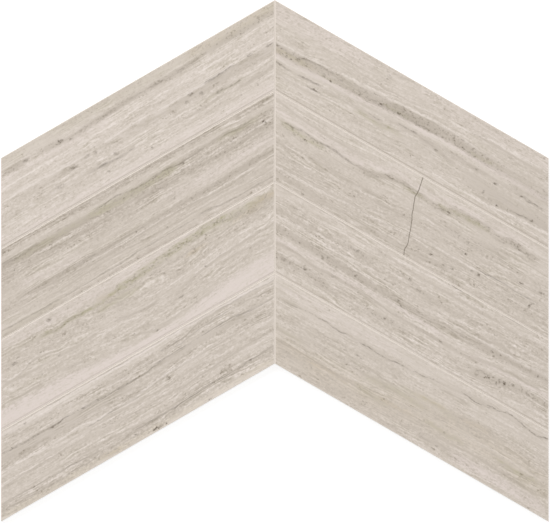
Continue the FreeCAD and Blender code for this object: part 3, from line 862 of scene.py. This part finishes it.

# How well pits cover the stone, and the radii of their dark floors as shares of their length and breadth;
# the dark is partly the pits' fill and partly painted shade in the hollows
PIT_COVER = 0.6
PIT_LENGTH_SHARE = 0.65
PIT_BREADTH_SHARE = 0.55

# The crack and the line of painted shade along the lower edge, in millimetres, and how well the crack covers
# the stone
CRACK_HALF_WIDTH = 0.22
CRACK_SOFTNESS = 0.2
CRACK_STRENGTH = 0.85
LOWER_EDGE_SHADE_FROM_EDGE = 0.75
LOWER_EDGE_SHADE_HALF_WIDTH = 0.35
LOWER_EDGE_SHADE_SOFTNESS = 0.25

# The fine relief, with its distance in millimetres, and the gloss
SPECK_RELIEF = 0.4
BUMP_STRENGTH = 0.2
BUMP_DISTANCE = 0.15
STREAK_ROUGHNESS = 0.2
SPECK_ROUGHNESS = 0.2
SPECULAR_LEVEL = 0.3


def as_shares(places):
    """Places in percent as shares."""
    return [(first / 100, second / 100) for first, second in places]


def vein_strengths(vein):
    """How strong a vein is at each point of its path."""
    return vein.strength if isinstance(vein.strength, list) else [vein.strength] * len(vein.path)


def fading_strength(vein):
    """Points of a vein's strength along the strip, fading out at ends that lie inside the strip."""
    points = [(along, strength) for (along, down), strength in zip(vein.path, vein_strengths(vein))]
    first, last = vein.path[0][0], vein.path[-1][0]
    fade = max(SHORTEST_FADE, FADE_FOR_WIDTH * vein.half_width)
    if first > fade:
        points.insert(0, (first - fade, 0.0))
    if last < 100 - fade:
        points.append((last + fade, 0.0))
    return [(along / 100, strength) for along, strength in points]


def tone_stops(settings):
    """The stone's tones from dark to pale, placed by their level."""
    return [
        ((level - LOWEST_LEVEL) / LEVEL_SPAN, opaque(getattr(settings, name)))
        for name, level in TONE_LEVELS.items()
    ]


class StoneLook(Graph):
    """The look of one strip under construction. Its lay methods lay something over a colour."""

    def __init__(self, tree, strip, settings):
        super().__init__(tree)
        self.strip = strip
        self.stone = STONES[strip.node]
        self.settings = settings
        self.width = strip.width / MM
        self.length = strip.length / MM
        self.top = strip.high.z / MM
        self.find_place()
        self.make_noises()

    def find_place(self):
        """Millimetres along and down the strip and up from the floor, and shares of its length and width."""
        self.turned = self.add("ShaderNodeMapping", {"vector_type": "TEXTURE"}, {
            "Vector": self.add("ShaderNodeTexCoord", output="Object"),
            "Location": self.strip.corner,
            "Rotation": (0.0, 0.0, self.strip.slope),
            "Scale": (MM, -MM, MM),
        })
        self.along, self.down, self.up = self.parts(self.turned)
        self.along_share = (self.along + self.down * math.tan(self.strip.slope)) / self.length
        self.down_share = self.down / self.width

    def make_noises(self):
        """Noises that lie loose in the stone, and noises that follow its beds."""
        seed = STRIP_NODES.index(self.strip.node) * SEED_STEP
        loose = self.vector_math("ADD", self.turned, (seed, seed, seed))
        self.noises = {name: self.noise(loose, grain) for name, grain in LOOSE_GRAINS.items()}
        lamina = self.stone.lamina
        self.swirl = self.noise(loose, Grain(lamina.length, lamina.breadth, LAMINA_DEPTH, 1.0))
        flow = self.along_share.curve(as_shares(self.stone.flow)) * self.width
        self.depth = self.top - self.up
        self.bed_depth = self.down + self.depth * BED_DIP + self.mixed(BED_WANDER) - flow
        bedding = self.vector(self.along + seed, self.bed_depth + seed, self.up)
        self.noises |= {name: self.noise(bedding, grain) for name, grain in BEDDED_GRAINS.items()}
        self.uneven = self.mixed(VEIN_UNEVENNESS)

    def mixed(self, weights):
        """A sum of noises, each times its weight."""
        first, *others = [self.noises[name] * weight for name, weight in weights.items()]
        return sum(others, first)

    def bedded_colour(self):
        """The colour of the stone itself, with its beds, laminae, streaks and grains."""
        stone, noises = self.stone, self.noises
        bed_points = [(down / 100, level / BED_RANGE + 0.5) for down, level in stone.beds]
        beds = (self.bed_depth / self.width).curve(bed_points) * BED_RANGE - BED_RANGE / 2
        turns = self.bed_depth / stone.lamina.spacing + self.swirl * stone.lamina.turns
        wave = self.math("SINE", turns * (2 * math.pi))
        laminae = wave * abs(wave) * self.mixed(LAMINA_PLACES).smooth(*LAMINA_STEP, stone.lamina.strength)
        grains = noises["speck"].smooth(*GRAIN_STEP) * noises["cluster"].smooth(*GRAIN_STEP)
        fine = self.mixed(FINE_LEVELS) + laminae - grains * GRAIN_LEVELS
        busy = (noises["patch"] * BUSY_PATCHES - beds * BUSY_BEDS).smooth(*BUSY_STEP) + LEAST_BUSY
        marks = noises["streak"] * STREAK_LEVELS + fine * busy
        level = beds * BED_CONTRAST + stone.level + noises["broad"] * BROAD_LEVELS + marks * stone.grain
        tone = (level - LOWEST_LEVEL) / LEVEL_SPAN
        colour = self.add("ShaderNodeValToRGB", {"stops": tone_stops(self.settings)}, {"Fac": tone})
        cast = (noises["patch"] + noises["broad"]).smooth(*CAST_STEP)
        return self.blend(cast, colour, self.settings.olive)

    def lay_veins(self, colour):
        """Lay the veins tone by tone. This also gives the lines of those that carry specks."""
        ragged_down = (self.down + self.depth * VEIN_DIP + self.mixed(VEIN_WANDER)) / self.width
        ragged_along = self.along_share + self.mixed(VEIN_BREAKS)
        speckled = []
        for tone, contrast in VEIN_CONTRAST.items():
            lines = []
            for vein in getattr(self.stone, tone):
                gap = ragged_down - self.along_share.curve(as_shares(vein.path))
                line = gap.line(vein.half_width / self.width, vein.soft / self.width)
                line = line * ragged_along.curve(fading_strength(vein))
                lines.append(line)
                if vein.speckle:
                    speckled.append(line * (vein.speckle / max(vein_strengths(vein))))
            if lines:
                cover = reduce(Field.largest, lines) * (self.uneven + contrast)
                colour = self.blend(cover, colour, getattr(self.settings, tone))
        return colour, speckled

    def lay_lower_edge_shade(self, colour):
        """Lay a thin dark line of painted shade along the lower edge of some strips, where the eased edge
        faces away from the light.
        """
        if not self.stone.saw_line:
            return colour
        # A dark line of painted shade along the lower eased edge
        gap = self.width - LOWER_EDGE_SHADE_FROM_EDGE - self.down
        line = gap.line(LOWER_EDGE_SHADE_HALF_WIDTH, LOWER_EDGE_SHADE_SOFTNESS, self.stone.saw_line)
        cover = line * (self.uneven * LOWER_EDGE_SHADE_UNEVENNESS + 1.0)
        return self.blend(cover, colour, self.settings.taupe)

    def specks(self, speckled):
        """Where small dark specks lie: a few anywhere, and more on the veins that carry them."""
        speck = self.noises["speck"]
        few = speck.smooth(*LOOSE_SPECK_STEP)
        if not speckled:
            return few
        return few.largest(speck.smooth(*VEIN_SPECK_STEP) * reduce(Field.largest, speckled))

    def lay_pits(self, colour):
        """Lay the pits, each an ellipse with a soft, ragged rim, darkened partly by their dark fill and
        partly by painted shade in the hollows.
        """
        along = self.along + self.mixed(PIT_WANDER_ALONG)
        down = self.down + self.mixed(PIT_WANDER_DOWN)
        place = self.vector(along, down, 0.0)
        masks = []
        for pit in self.stone.pits:
            pit_down = pit.down / 100 * self.width
            pit_along = pit.along / 100 * self.length - pit_down * math.tan(self.strip.slope)
            length = pit.length * PIT_LENGTH_SHARE
            breadth = pit.breadth * PIT_BREADTH_SHARE
            scale = (1 / length, 1 / breadth, 0.0)
            centre = (-pit_along / length, -pit_down / breadth, 0.0)
            offset = self.vector_math("MULTIPLY_ADD", place, scale, centre)
            reach = self.vector_math("LENGTH", offset, output="Value")
            masks.append(reach.smooth(*PIT_STEP, pit.strength))
        cover = reduce(Field.largest, masks) * (self.mixed(PIT_UNEVENNESS) + PIT_COVER)
        return self.blend(cover, colour, self.settings.umber)

    def lay_crack(self, colour):
        """Lay the hairline crack across a strip that has one."""
        if not self.stone.crack:
            return colour
        middle = self.down_share.curve(as_shares(self.stone.crack))
        gap = self.along_share + self.noises["rag"] * (CRACK_WANDER / self.length) - middle
        line = gap.line(CRACK_HALF_WIDTH / self.length, CRACK_SOFTNESS / self.length, CRACK_STRENGTH)
        return self.blend(line, colour, self.settings.umber)

    def lay_pale_edges_and_highlight(self, colour):
        """Lay the pale rim round the face: partly the paler ground edges, partly painted highlight on the
        eased edges and joints. It ends a little below the face.
        """
        from_side = self.down.smallest(self.width - self.down)
        from_end = self.along_share.smallest(1.0 - self.along_share) * (self.strip.run / MM)
        rim = from_side.smallest(from_end).smooth(*EDGE_STEP)
        near_face = self.up.smooth(*(self.top - depth for depth in EDGE_DEPTHS))
        return self.blend(rim * near_face, colour, self.settings.edge)


def stone_material(strip, settings):
    """Honed, vein-cut limestone: beds along the strip, streaks, listed veins, stains and pits."""
    material = new_material(f"limestone_{strip.node}")
    look = StoneLook(material.node_tree, strip, settings)
    colour, speckled = look.lay_veins(look.bedded_colour())
    colour = look.lay_lower_edge_shade(colour)
    specks = look.specks(speckled)
    colour = look.blend(specks, colour, settings.umber)
    colour = look.lay_pale_edges_and_highlight(look.lay_crack(look.lay_pits(colour)))
    bump = look.add("ShaderNodeBump", None, {
        "Strength": BUMP_STRENGTH,
        "Distance": BUMP_DISTANCE * MM,
        "Height": look.mixed(RELIEF) - specks * SPECK_RELIEF,
    })
    unpolished = look.noises["streak"] * STREAK_ROUGHNESS + specks * SPECK_ROUGHNESS
    shader = look.add("ShaderNodeBsdfPrincipled", None, {
        "Base Color": colour,
        "Roughness": settings.roughness + unpolished,
        "Specular IOR Level": SPECULAR_LEVEL,
        "Normal": bump,
    })
    look.add("ShaderNodeOutputMaterial", None, {"Surface": shader})
    return material


# The strips' meshes

# Grid lines near an edge, rings down a side, the reach of wear, pits and clearance, in millimetres
EDGE_STEPS = (0.0, 0.08, 0.18, 0.3, 0.46, 0.7, 1.1)
LIP_DEPTH = 0.2
LEAST_LIP_DEPTH = 0.02
SIDE_DEPTHS = (4.0, 7.0)
WEAR_REACH = 2.0
PIT_DEPTH = 0.18
CLEARANCE = 0.01

# The noises that wear the edges
WANDERS_PER_METRE = 400.0
CHIPS_PER_METRE = 170.0
CHIP_OFFSET = Vector((7.0, 3.0, 0.0))
CHIP_THRESHOLD = 0.4
CHIP_SIZE = 6.0

SHARP_ANGLE = math.radians(50)

# The map of a strip, with its rows from the bottom up and the margin inside them, as shares
BAKE_MAP = "OFBake"
MAP_MARGIN = 0.006
MAP_ROWS = {
    "back": (0.0, 0.1),
    "ends": (0.1, 0.18),
    "lower": (0.18, 0.26),
    "upper": (0.26, 0.34),
    "face": (0.34, 1.0),
}


def grid_shares(length, spacing):
    """Shares of a length for a modelled grid, closer together towards both edges."""
    edge = [step * MM / length for step in EDGE_STEPS]
    span = 1 - 2 * edge[-1]
    count = max(2, round(span * length / spacing))
    inner = [edge[-1] + span * index / count for index in range(1, count)]
    return np.array(edge + inner + [1 - share for share in reversed(edge)])


def edge_wear(strip, alongs, downs, chip):
    """How far a sawn edge is worn back at its grid points: shallow wander with a few small chips."""
    wear = []
    for along, down in np.broadcast(alongs, downs):
        place = strip.place(along, down, 0.0)
        wander = noise.noise(place * WANDERS_PER_METRE)
        bite = max(0.0, noise.noise(place * CHIPS_PER_METRE + CHIP_OFFSET) - CHIP_THRESHOLD)
        wear.append(chip * (0.5 + 0.5 * wander + CHIP_SIZE * bite))
    return np.array(wear)


def model_face(strip, settings, alongs, downs):
    """Points of the visible face, with its eased and worn edges and its pits."""
    along, down = np.meshgrid(alongs, downs)
    x = strip.corner.x + along * strip.run
    y = strip.corner.y + along * strip.climb - down * strip.mitre
    drop = np.zeros_like(x)
    square = np.array((math.sin(strip.slope), -math.cos(strip.slope)))
    level = np.array((1.0, 0.0))
    edges = (
        (down * strip.width, square, edge_wear(strip, alongs, 0.0, settings.chip)[None, :]),
        ((1 - down) * strip.width, -square, edge_wear(strip, alongs, 1.0, settings.chip)[None, :]),
        (along * strip.run, level, edge_wear(strip, 0.0, downs, settings.chip)[:, None]),
        ((1 - along) * strip.run, -level, edge_wear(strip, 1.0, downs, settings.chip)[:, None]),
    )
    for gap, inward, wear in edges:
        push = wear * np.clip(1 - gap / (WEAR_REACH * MM), 0, 1) ** 2
        x += inward[0] * push
        y += inward[1] * push
        radius = settings.arris + wear
        inside = np.clip(radius - gap, 0, None)
        drop = np.maximum(drop, settings.ease * (radius - np.sqrt(radius ** 2 - inside ** 2)))
    for pit in STONES[strip.node].pits:
        across = (along - pit.along / 100) * strip.length / (pit.length * MM / 2)
        over = (down - pit.down / 100) * strip.width / (pit.breadth * MM / 2)
        drop += PIT_DEPTH * MM * pit.strength * np.clip(1 - (across ** 2 + over ** 2) / 2, 0, 1) ** 2
    return np.stack([x, y, strip.high.z - drop], axis=-1)


def joint_lips():
    """How far a side may stand out below its eased edge before it meets its neighbour."""
    upper, lower, across = (Strip(STRIP_NODES[place]) for place in (0, 1, len(ROWS)))
    return {
        "row": (upper.corner.y - lower.corner.y - upper.mitre) / 2 - CLEARANCE * MM,
        "spine": (across.low.x - upper.high.x) / 2 - CLEARANCE * MM,
    }


def sawn_side(strip, lips, along, down, height):
    """A point of a strip's sawn side. Sides at a joint stand close to their neighbour."""
    place = strip.place(along, down, height)
    if down == 0 and strip.row > ROWS[0]:
        place.y += lips["row"]
    if down == 1 and strip.row < ROWS[-1]:
        place.y -= lips["row"]
    if along == strip.spine_end:
        place.x += lips["spine"] if strip.spine_end else -lips["spine"]
    return place


def rim_places(rows, columns):
    """Rows and columns of the points round the face: upper edge, right end, lower edge and left end."""
    rim = [(0, column) for column in range(columns)]
    rim += [(row, columns - 1) for row in range(1, rows)]
    rim += [(rows - 1, column) for column in range(columns - 2, -1, -1)]
    return rim + [(row, 0) for row in range(rows - 2, 0, -1)]


def back_faces(foot, rows, columns):
    """Faces of the flat back, each from the upper edge of its ring of points to the lower one."""
    upper = foot[:columns]
    right = foot[columns:columns + rows - 2]
    lower = foot[2 * columns + rows - 3:columns + rows - 3:-1]
    left = foot[2 * columns + rows - 2:]
    return [
        (*upper[column:column + 2], *(right if column == columns - 2 else []),
         lower[column + 1], lower[column], *(left if column == 0 else []))
        for column in range(columns - 1)
    ]


def in_map_row(name, across, up, half=None):
    """Places in one row of the strip's map, with a margin round them. Half of the row may be chosen."""
    low, high = MAP_ROWS[name]
    left, right = (0.0, 1.0) if half is None else (half / 2, half / 2 + 0.5)
    u = left + MAP_MARGIN + across * (right - left - 2 * MAP_MARGIN)
    v = low + MAP_MARGIN + up * (high - low - 2 * MAP_MARGIN)
    return np.stack([u, v], axis=-1)


def lay_map(data, alongs, downs, rim, levels):
    """Lay the strip out on its own map: the face large, the four sides and the back in rows under it."""
    rows, columns = len(downs), len(alongs)
    corners = np.zeros(len(data.loops), dtype=int)
    data.loops.foreach_get("vertex_index", corners)
    face = corners[:(rows - 1) * (columns - 1) * 4]
    places = [in_map_row("face", alongs[face % columns], 1 - downs[face // columns])]
    steps = np.arange(len(rim))
    sides = (
        ("upper", None, 0),
        ("ends", 0, columns - 1),
        ("lower", None, columns + rows - 2),
        ("ends", 1, 2 * columns + rows - 3),
    )
    ends = [start for name, half, start in sides[1:]] + [len(rim)]
    for level in range(levels):
        ring = np.zeros((len(rim), 4, 2))
        for (name, half, start), end in zip(sides, ends):
            chosen = steps[start:end]
            before = (chosen - start) / (end - start)
            after = (chosen + 1 - start) / (end - start)
            across = np.stack([before, after, after, before], axis=1)
            up = 1 - (level + np.array([0, 0, 1, 1])) / levels
            ring[chosen] = in_map_row(name, across, np.broadcast_to(up, across.shape), half)
        places.append(ring.reshape(-1, 2))
    foot = corners[sum(map(len, places)):]
    back = np.array([(alongs[column], 1 - downs[row]) for row, column in rim])[foot - foot.min()]
    places.append(in_map_row("back", *back.T))
    layer = data.uv_layers.new(name=BAKE_MAP)
    layer.data.foreach_set("uv", np.concatenate(places).astype(np.float32).ravel())


def strip_mesh(strip, settings):
    """A closed mesh of one strip: modelled face, sawn sides and flat back."""
    lips = joint_lips()
    alongs = grid_shares(strip.run, settings.grid)
    downs = grid_shares(strip.width, settings.grid)
    rows, columns = len(downs), len(alongs)
    face = model_face(strip, settings, alongs, downs)
    points = [tuple(point) for point in face.reshape(-1, 3)]
    faces = []
    for row in range(rows - 1):
        for column in range(columns - 1):
            here = row * columns + column
            faces.append((here, here + columns, here + columns + 1, here + 1))
    rim = rim_places(rows, columns)
    ring = [row * columns + column for row, column in rim]
    depths = (LIP_DEPTH, *SIDE_DEPTHS, (strip.high.z - strip.low.z) / MM)
    for depth in depths:
        below = []
        for row, column in rim:
            height = min(strip.high.z - depth * MM, face[row, column][2] - LEAST_LIP_DEPTH * MM)
            below.append(len(points))
            points.append(tuple(sawn_side(strip, lips, alongs[column], downs[row], height)))
        for index in range(len(ring)):
            after = (index + 1) % len(ring)
            faces.append((ring[index], ring[after], below[after], below[index]))
        ring = below
    faces += back_faces(ring, rows, columns)
    data = bpy.data.meshes.new(f"stone_{strip.node}")
    data.from_pydata(points, [], faces)
    data.update()
    lay_map(data, alongs, downs, rim, len(depths))
    data.shade_smooth()
    data.set_sharp_from_angle(angle=SHARP_ANGLE)
    return data


def add_piece(name, data, nodes):
    """Put a finished mesh in the scene as a piece that stands for CAD nodes."""
    piece = bpy.data.objects.new(name, data)
    bpy.context.scene.collection.objects.link(piece)
    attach(piece, BODY)
    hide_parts(*nodes)


class TILE_OT_stone_strips(bpy.types.Operator):
    """Model the eight limestone strips with worn edges and pits, and give each its own veining"""
    bl_idname = "chevron_tile.stone_strips"
    bl_label = "Stone strips"

    def execute(self, context):
        settings = context.scene.chevron_stone
        for node in STRIP_NODES:
            strip = Strip(node)
            data = strip_mesh(strip, settings)
            data.materials.append(stone_material(strip, settings))
            add_piece(f"stone_{node}", data, [node])
        return {"FINISHED"}


# The mesh backing

# The thread's noises, with their grains in metres, and where each shows
FILAMENT_GRAIN = Grain(0.4 * MM, 0.4 * MM, 0.25 * MM, 2.0)
FILAMENT_STEP = (0.0, 0.25, 0.4)
RESIN_GRAIN = Grain(1 / 60, 1 / 60, 1 / 60)
RESIN_STEP = (-0.1, 0.2, 0.5)

THREAD_ROUGHNESS = 0.42
FILAMENT_ROUGHNESS = 0.3
THREAD_BUMP_STRENGTH = 0.4
THREAD_BUMP_DISTANCE = 0.1
THREAD_SIDES = 6
OVERLAP_AT_SPINE = 0.04
THREAD_SIZES = ("Half Width", "Tip Height", "Arm Height", "Fall", "Spacing", "Breadth", "Thickness", "Step")


def thread_material(settings):
    """White glass-fibre thread in clear resin: fine filaments along it with painted shade between them, and
    a faint yellow cast in places.
    """
    material = new_material("glass_fibre_thread")
    graph = Graph(material.node_tree)
    place = graph.add("ShaderNodeTexCoord", output="Object")
    filament = graph.noise(place, FILAMENT_GRAIN)
    resin = graph.noise(place, RESIN_GRAIN)
    colour = graph.blend(resin.smooth(*RESIN_STEP), opaque(settings.thread), settings.resin)
    # The filament colour is painted shade between the filaments.
    colour = graph.blend(filament.smooth(*FILAMENT_STEP), colour, settings.filament)
    bump = graph.add("ShaderNodeBump", None, {
        "Strength": THREAD_BUMP_STRENGTH, "Distance": THREAD_BUMP_DISTANCE * MM, "Height": filament,
    })
    shader = graph.add("ShaderNodeBsdfPrincipled", None, {
        "Base Color": colour,
        "Roughness": THREAD_ROUGHNESS + filament * FILAMENT_ROUGHNESS,
        "Normal": bump,
    })
    graph.add("ShaderNodeOutputMaterial", None, {"Surface": shader})
    return material


class ThreadWeave(Graph):
    """Geometry Nodes that weave upright and level threads inside a chevron outline."""

    def __init__(self):
        super().__init__(bpy.data.node_groups.new("chevron_mesh_threads", "GeometryNodeTree"))
        sockets = self.tree.interface
        sockets.new_socket("Geometry", in_out="OUTPUT", socket_type="NodeSocketGeometry")
        for name in THREAD_SIZES:
            sockets.new_socket(name, in_out="INPUT", socket_type="NodeSocketFloat")
        sockets.new_socket("Thread", in_out="INPUT", socket_type="NodeSocketMaterial")
        entry = self.add("NodeGroupInput").socket.node
        self.given = {socket.name: Field(self, socket) for socket in entry.outputs if socket.name}
        self.dress([self.upright_threads(), self.level_threads(1.0), self.level_threads(-1.0)])

    def here(self):
        """Where a point of a thread lies, as x and y."""
        return self.parts(self.add("GeometryNodeInputPosition"))[:2]

    def rows(self, count, start, offset, end):
        """Copies of a straight thread, stepped along, as curves of short straight steps."""
        thread = self.add("GeometryNodeCurvePrimitiveLine", None, {"End": end})
        row = self.add("GeometryNodeMeshLine", None, {
            "Count": count, "Start Location": start, "Offset": offset,
        })
        copies = self.add("GeometryNodeInstanceOnPoints", None, {"Points": row, "Instance": thread})
        real = self.add("GeometryNodeRealizeInstances", None, {"Geometry": copies})
        return self.add("GeometryNodeResampleCurve", {"mode": "LENGTH"}, {
            "Curve": real, "Length": self.given["Step"],
        })

    def woven(self, threads, x, y, sign):
        """Put threads in place, waving half their thickness over and under those that they cross."""
        thickness = self.given["Thickness"]
        turns = (x + y) / self.given["Spacing"] * math.pi
        z = thickness + self.math("COSINE", turns) * (thickness * 0.5) * sign
        return self.add("GeometryNodeSetPosition", None, {
            "Geometry": threads, "Position": self.vector(x, y, z),
        })

    def upright_threads(self):
        """Threads from the upper outline to the lower one."""
        half, spacing = self.given["Half Width"], self.given["Spacing"]
        count = self.math("FLOOR", half * 2.0 / spacing)
        start = self.vector((count - 1.0) * spacing * -0.5, 0.0, 0.0)
        end = self.vector(0.0, self.given["Arm Height"] * -1.0, 0.0)
        threads = self.rows(count, start, self.vector(spacing, 0.0, 0.0), end)
        x, y = self.here()
        y = y + self.given["Tip Height"] - abs(x) / half * self.given["Fall"]
        return self.woven(threads, x, y, 1.0)

    def level_threads(self, side):
        """Threads of one side of the spine, each from the inner outline to the outer one."""
        half, arm, fall = (self.given[name] for name in ("Half Width", "Arm Height", "Fall"))
        spacing = self.given["Spacing"]
        count = self.math("FLOOR", (arm + fall) / spacing)
        start = self.vector(0.0, spacing * -0.5, 0.0)
        step = self.vector(0.0, spacing * -1.0, 0.0)
        threads = self.rows(count, start, step, self.vector(half, 0.0, 0.0))
        x, y = self.here()
        below_tip = y * -1.0
        inner = ((below_tip - arm) / fall * half).largest(spacing * -OVERLAP_AT_SPINE)
        outer = (below_tip / fall * half).smallest(half)
        x = (inner + x / half * (outer - inner)) * side
        return self.woven(threads, x, y + self.given["Tip Height"], -1.0)

    def dress(self, groups):
        """Join the groups of threads and give them their flattened section and their material."""
        curves = self.add("GeometryNodeJoinGeometry", None, {"Geometry": groups})
        ring = self.add("GeometryNodeCurvePrimitiveCircle", None, {
            "Resolution": THREAD_SIDES, "Radius": 1.0,
        })
        flattened = self.vector(self.given["Breadth"] * 0.5, self.given["Thickness"] * 0.5, 1.0)
        section = self.add("GeometryNodeTransform", None, {"Geometry": ring, "Scale": flattened})
        mesh = self.add("GeometryNodeCurveToMesh", None, {
            "Curve": curves, "Profile Curve": section, "Fill Caps": True,
        })
        real = self.add("GeometryNodeRealizeInstances", None, {"Geometry": mesh})
        dressed = self.add("GeometryNodeSetMaterial", None, {
            "Geometry": real, "Material": self.given["Thread"],
        })
        self.add("NodeGroupOutput", None, {"Geometry": dressed})


class TILE_OT_mesh_backing(bpy.types.Operator):
    """Weave the glass-fibre mesh that holds the strips"""
    bl_idname = "chevron_tile.mesh_backing"
    bl_label = "Mesh backing"

    def execute(self, context):
        settings = context.scene.chevron_mesh
        low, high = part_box(MESH_NODE)
        slope = abs(Strip(STRIP_NODES[0]).slope)
        half = high.x - settings.breadth / 2
        fall = half * math.tan(slope)
        values = {
            "Half Width": half,
            "Tip Height": high.y,
            "Arm Height": high.y - low.y - fall,
            "Fall": fall,
            "Spacing": settings.spacing,
            "Breadth": settings.breadth,
            "Thickness": (high.z - low.z) / 2,
            "Step": settings.step,
            "Thread": thread_material(settings),
        }
        tree = ThreadWeave().tree
        holder = bpy.data.objects.new("mesh_threads_holder", bpy.data.meshes.new("mesh_threads_holder"))
        context.scene.collection.objects.link(holder)
        weave = holder.modifiers.new("threads", "NODES")
        weave.node_group = tree
        for socket in tree.interface.items_tree:
            if socket.in_out == "INPUT":
                weave[socket.identifier] = values[socket.name]
        made = holder.evaluated_get(context.evaluated_depsgraph_get())
        data = bpy.data.meshes.new_from_object(made)
        data.name = "mesh_threads"
        bpy.data.objects.remove(holder)
        data.shade_smooth()
        add_piece("mesh_threads", data, [MESH_NODE])
        return {"FINISHED"}


# The stage

# The photo and the place of the sheet in it, in pixels
PHOTO_WIDTH = 550
SHEET_WIDTH_IN_PHOTO = 547.8
SHEET_MIDDLE_ABOVE_PHOTO_MIDDLE = 0.6
SHEET_MIDDLE_LEFT_OF_PHOTO_MIDDLE = 0.25

# The lens and its sensor in millimetres, and what stands on the stage in metres
LENS = 900.0
SENSOR = 36.0
FARTHEST = 100.0
FLOOR_SIZE = 12.0
FLOOR_SEGMENTS = 8
WHITE = (1.0, 1.0, 1.0, 1.0)
KEY_PLACE = Vector((-0.6, 1.4, 2.6))
KEY_SIZE = 1.6


def seen_ray(graph):
    """1 for rays that the camera, a gloss or a clear surface sends, else 0."""
    kinds = ("Is Camera Ray", "Is Glossy Ray", "Is Transmission Ray")
    return reduce(Field.largest, [graph.add("ShaderNodeLightPath", output=kind) for kind in kinds])


def floor_material(settings):
    """A pale floor that keeps the object's shadow and shows near white to the camera."""
    material = new_material("pale_floor")
    graph = Graph(material.node_tree)
    matt = graph.add("ShaderNodeBsdfDiffuse", None, {"Color": opaque(settings.floor)})
    glow = graph.add("ShaderNodeEmission", None, {"Strength": settings.glow})
    bright = graph.add("ShaderNodeAddShader", None, {0: matt, 1: glow})
    shader = graph.add("ShaderNodeMixShader", None, {0: seen_ray(graph), 1: matt, 2: bright})
    graph.add("ShaderNodeOutputMaterial", None, {"Surface": shader})
    return material


def make_floor(context, settings):
    mesh = bmesh.new()
    bmesh.ops.create_grid(mesh, x_segments=FLOOR_SEGMENTS, y_segments=FLOOR_SEGMENTS, size=FLOOR_SIZE / 2)
    data = bpy.data.meshes.new("floor")
    mesh.to_mesh(data)
    mesh.free()
    data.materials.append(floor_material(settings))
    floor = bpy.data.objects.new("floor", data)
    context.scene.collection.objects.link(floor)


def make_sky(context, settings):
    world = bpy.data.worlds.new("studio")
    world.use_nodes = True
    world.node_tree.nodes.clear()
    graph = Graph(world.node_tree)
    even = graph.add("ShaderNodeBackground", None, {"Color": WHITE, "Strength": settings.sky})
    white = graph.add("ShaderNodeBackground", None, {"Color": WHITE, "Strength": 1.0})
    shader = graph.add("ShaderNodeMixShader", None, {0: seen_ray(graph), 1: even, 2: white})
    graph.add("ShaderNodeOutputWorld", None, {"Surface": shader})
    context.scene.world = world


def make_key_lamp(context, settings):
    """A soft square lamp beyond the tip, aimed at the sheet."""
    data = bpy.data.lights.new("key_lamp", "AREA")
    data.size = KEY_SIZE
    data.energy = settings.key_power
    lamp = bpy.data.objects.new("key_lamp", data)
    lamp.location = KEY_PLACE
    lamp.rotation_euler = (-KEY_PLACE).to_track_quat("-Z", "Y").to_euler()
    lamp.visible_camera = False
    context.scene.collection.objects.link(lamp)


def make_camera(context):
    """A long lens straight above the sheet, framed as in the photo."""
    low, high = CAD_BOX
    pixel = (high.x - low.x) / SHEET_WIDTH_IN_PHOTO
    data = bpy.data.cameras.new("camera")
    data.sensor_fit = "HORIZONTAL"
    data.sensor_width = SENSOR
    data.lens = LENS
    data.clip_end = FARTHEST
    camera = bpy.data.objects.new("camera", data)
    middle = (low + high) / 2
    drop = SHEET_MIDDLE_ABOVE_PHOTO_MIDDLE * pixel
    shift = SHEET_MIDDLE_LEFT_OF_PHOTO_MIDDLE * pixel
    distance = PHOTO_WIDTH * pixel * LENS / SENSOR
    camera.location = (middle.x + shift, middle.y - drop, high.z + distance)
    context.scene.collection.objects.link(camera)
    context.scene.camera = camera


class TILE_OT_stage(bpy.types.Operator):
    """Set the pale floor, the soft studio light and the camera"""
    bl_idname = "chevron_tile.stage"
    bl_label = "Stage"

    def execute(self, context):
        settings = context.scene.chevron_stage
        context.scene.view_settings.view_transform = "Standard"
        make_floor(context, settings)
        make_sky(context, settings)
        make_key_lamp(context, settings)
        make_camera(context)
        return {"FINISHED"}


class TILE_PT_panel(bpy.types.Panel):
    """Settings and steps of the chevron tile"""
    bl_idname = "TILE_PT_panel"
    bl_label = "Chevron wall tile"
    bl_space_type = "VIEW_3D"
    bl_region_type = "UI"
    bl_category = "Chevron tile"

    def draw(self, context):
        for group, operator in zip(SETTINGS, STEPS):
            settings = getattr(context.scene, group)
            box = self.layout.box()
            for name in settings.__annotations__:
                box.prop(settings, name)
            box.operator(operator.bl_idname)


SETTINGS = {"chevron_stone": StoneSettings, "chevron_mesh": MeshSettings, "chevron_stage": StageSettings}
STEPS = (TILE_OT_stone_strips, TILE_OT_mesh_backing, TILE_OT_stage)
CLASSES = (*SETTINGS.values(), *STEPS, TILE_PT_panel)


def register():
    for item in CLASSES:
        bpy.utils.register_class(item)
    for name, group in SETTINGS.items():
        setattr(bpy.types.Scene, name, bpy.props.PointerProperty(type=group))


def unregister():
    for name in SETTINGS:
        delattr(bpy.types.Scene, name)
    for item in reversed(CLASSES):
        bpy.utils.unregister_class(item)


def main():
    register()
    bpy.ops.chevron_tile.stage()
    bpy.ops.chevron_tile.stone_strips()
    bpy.ops.chevron_tile.mesh_backing()


if __name__ == "__main__":
    main()
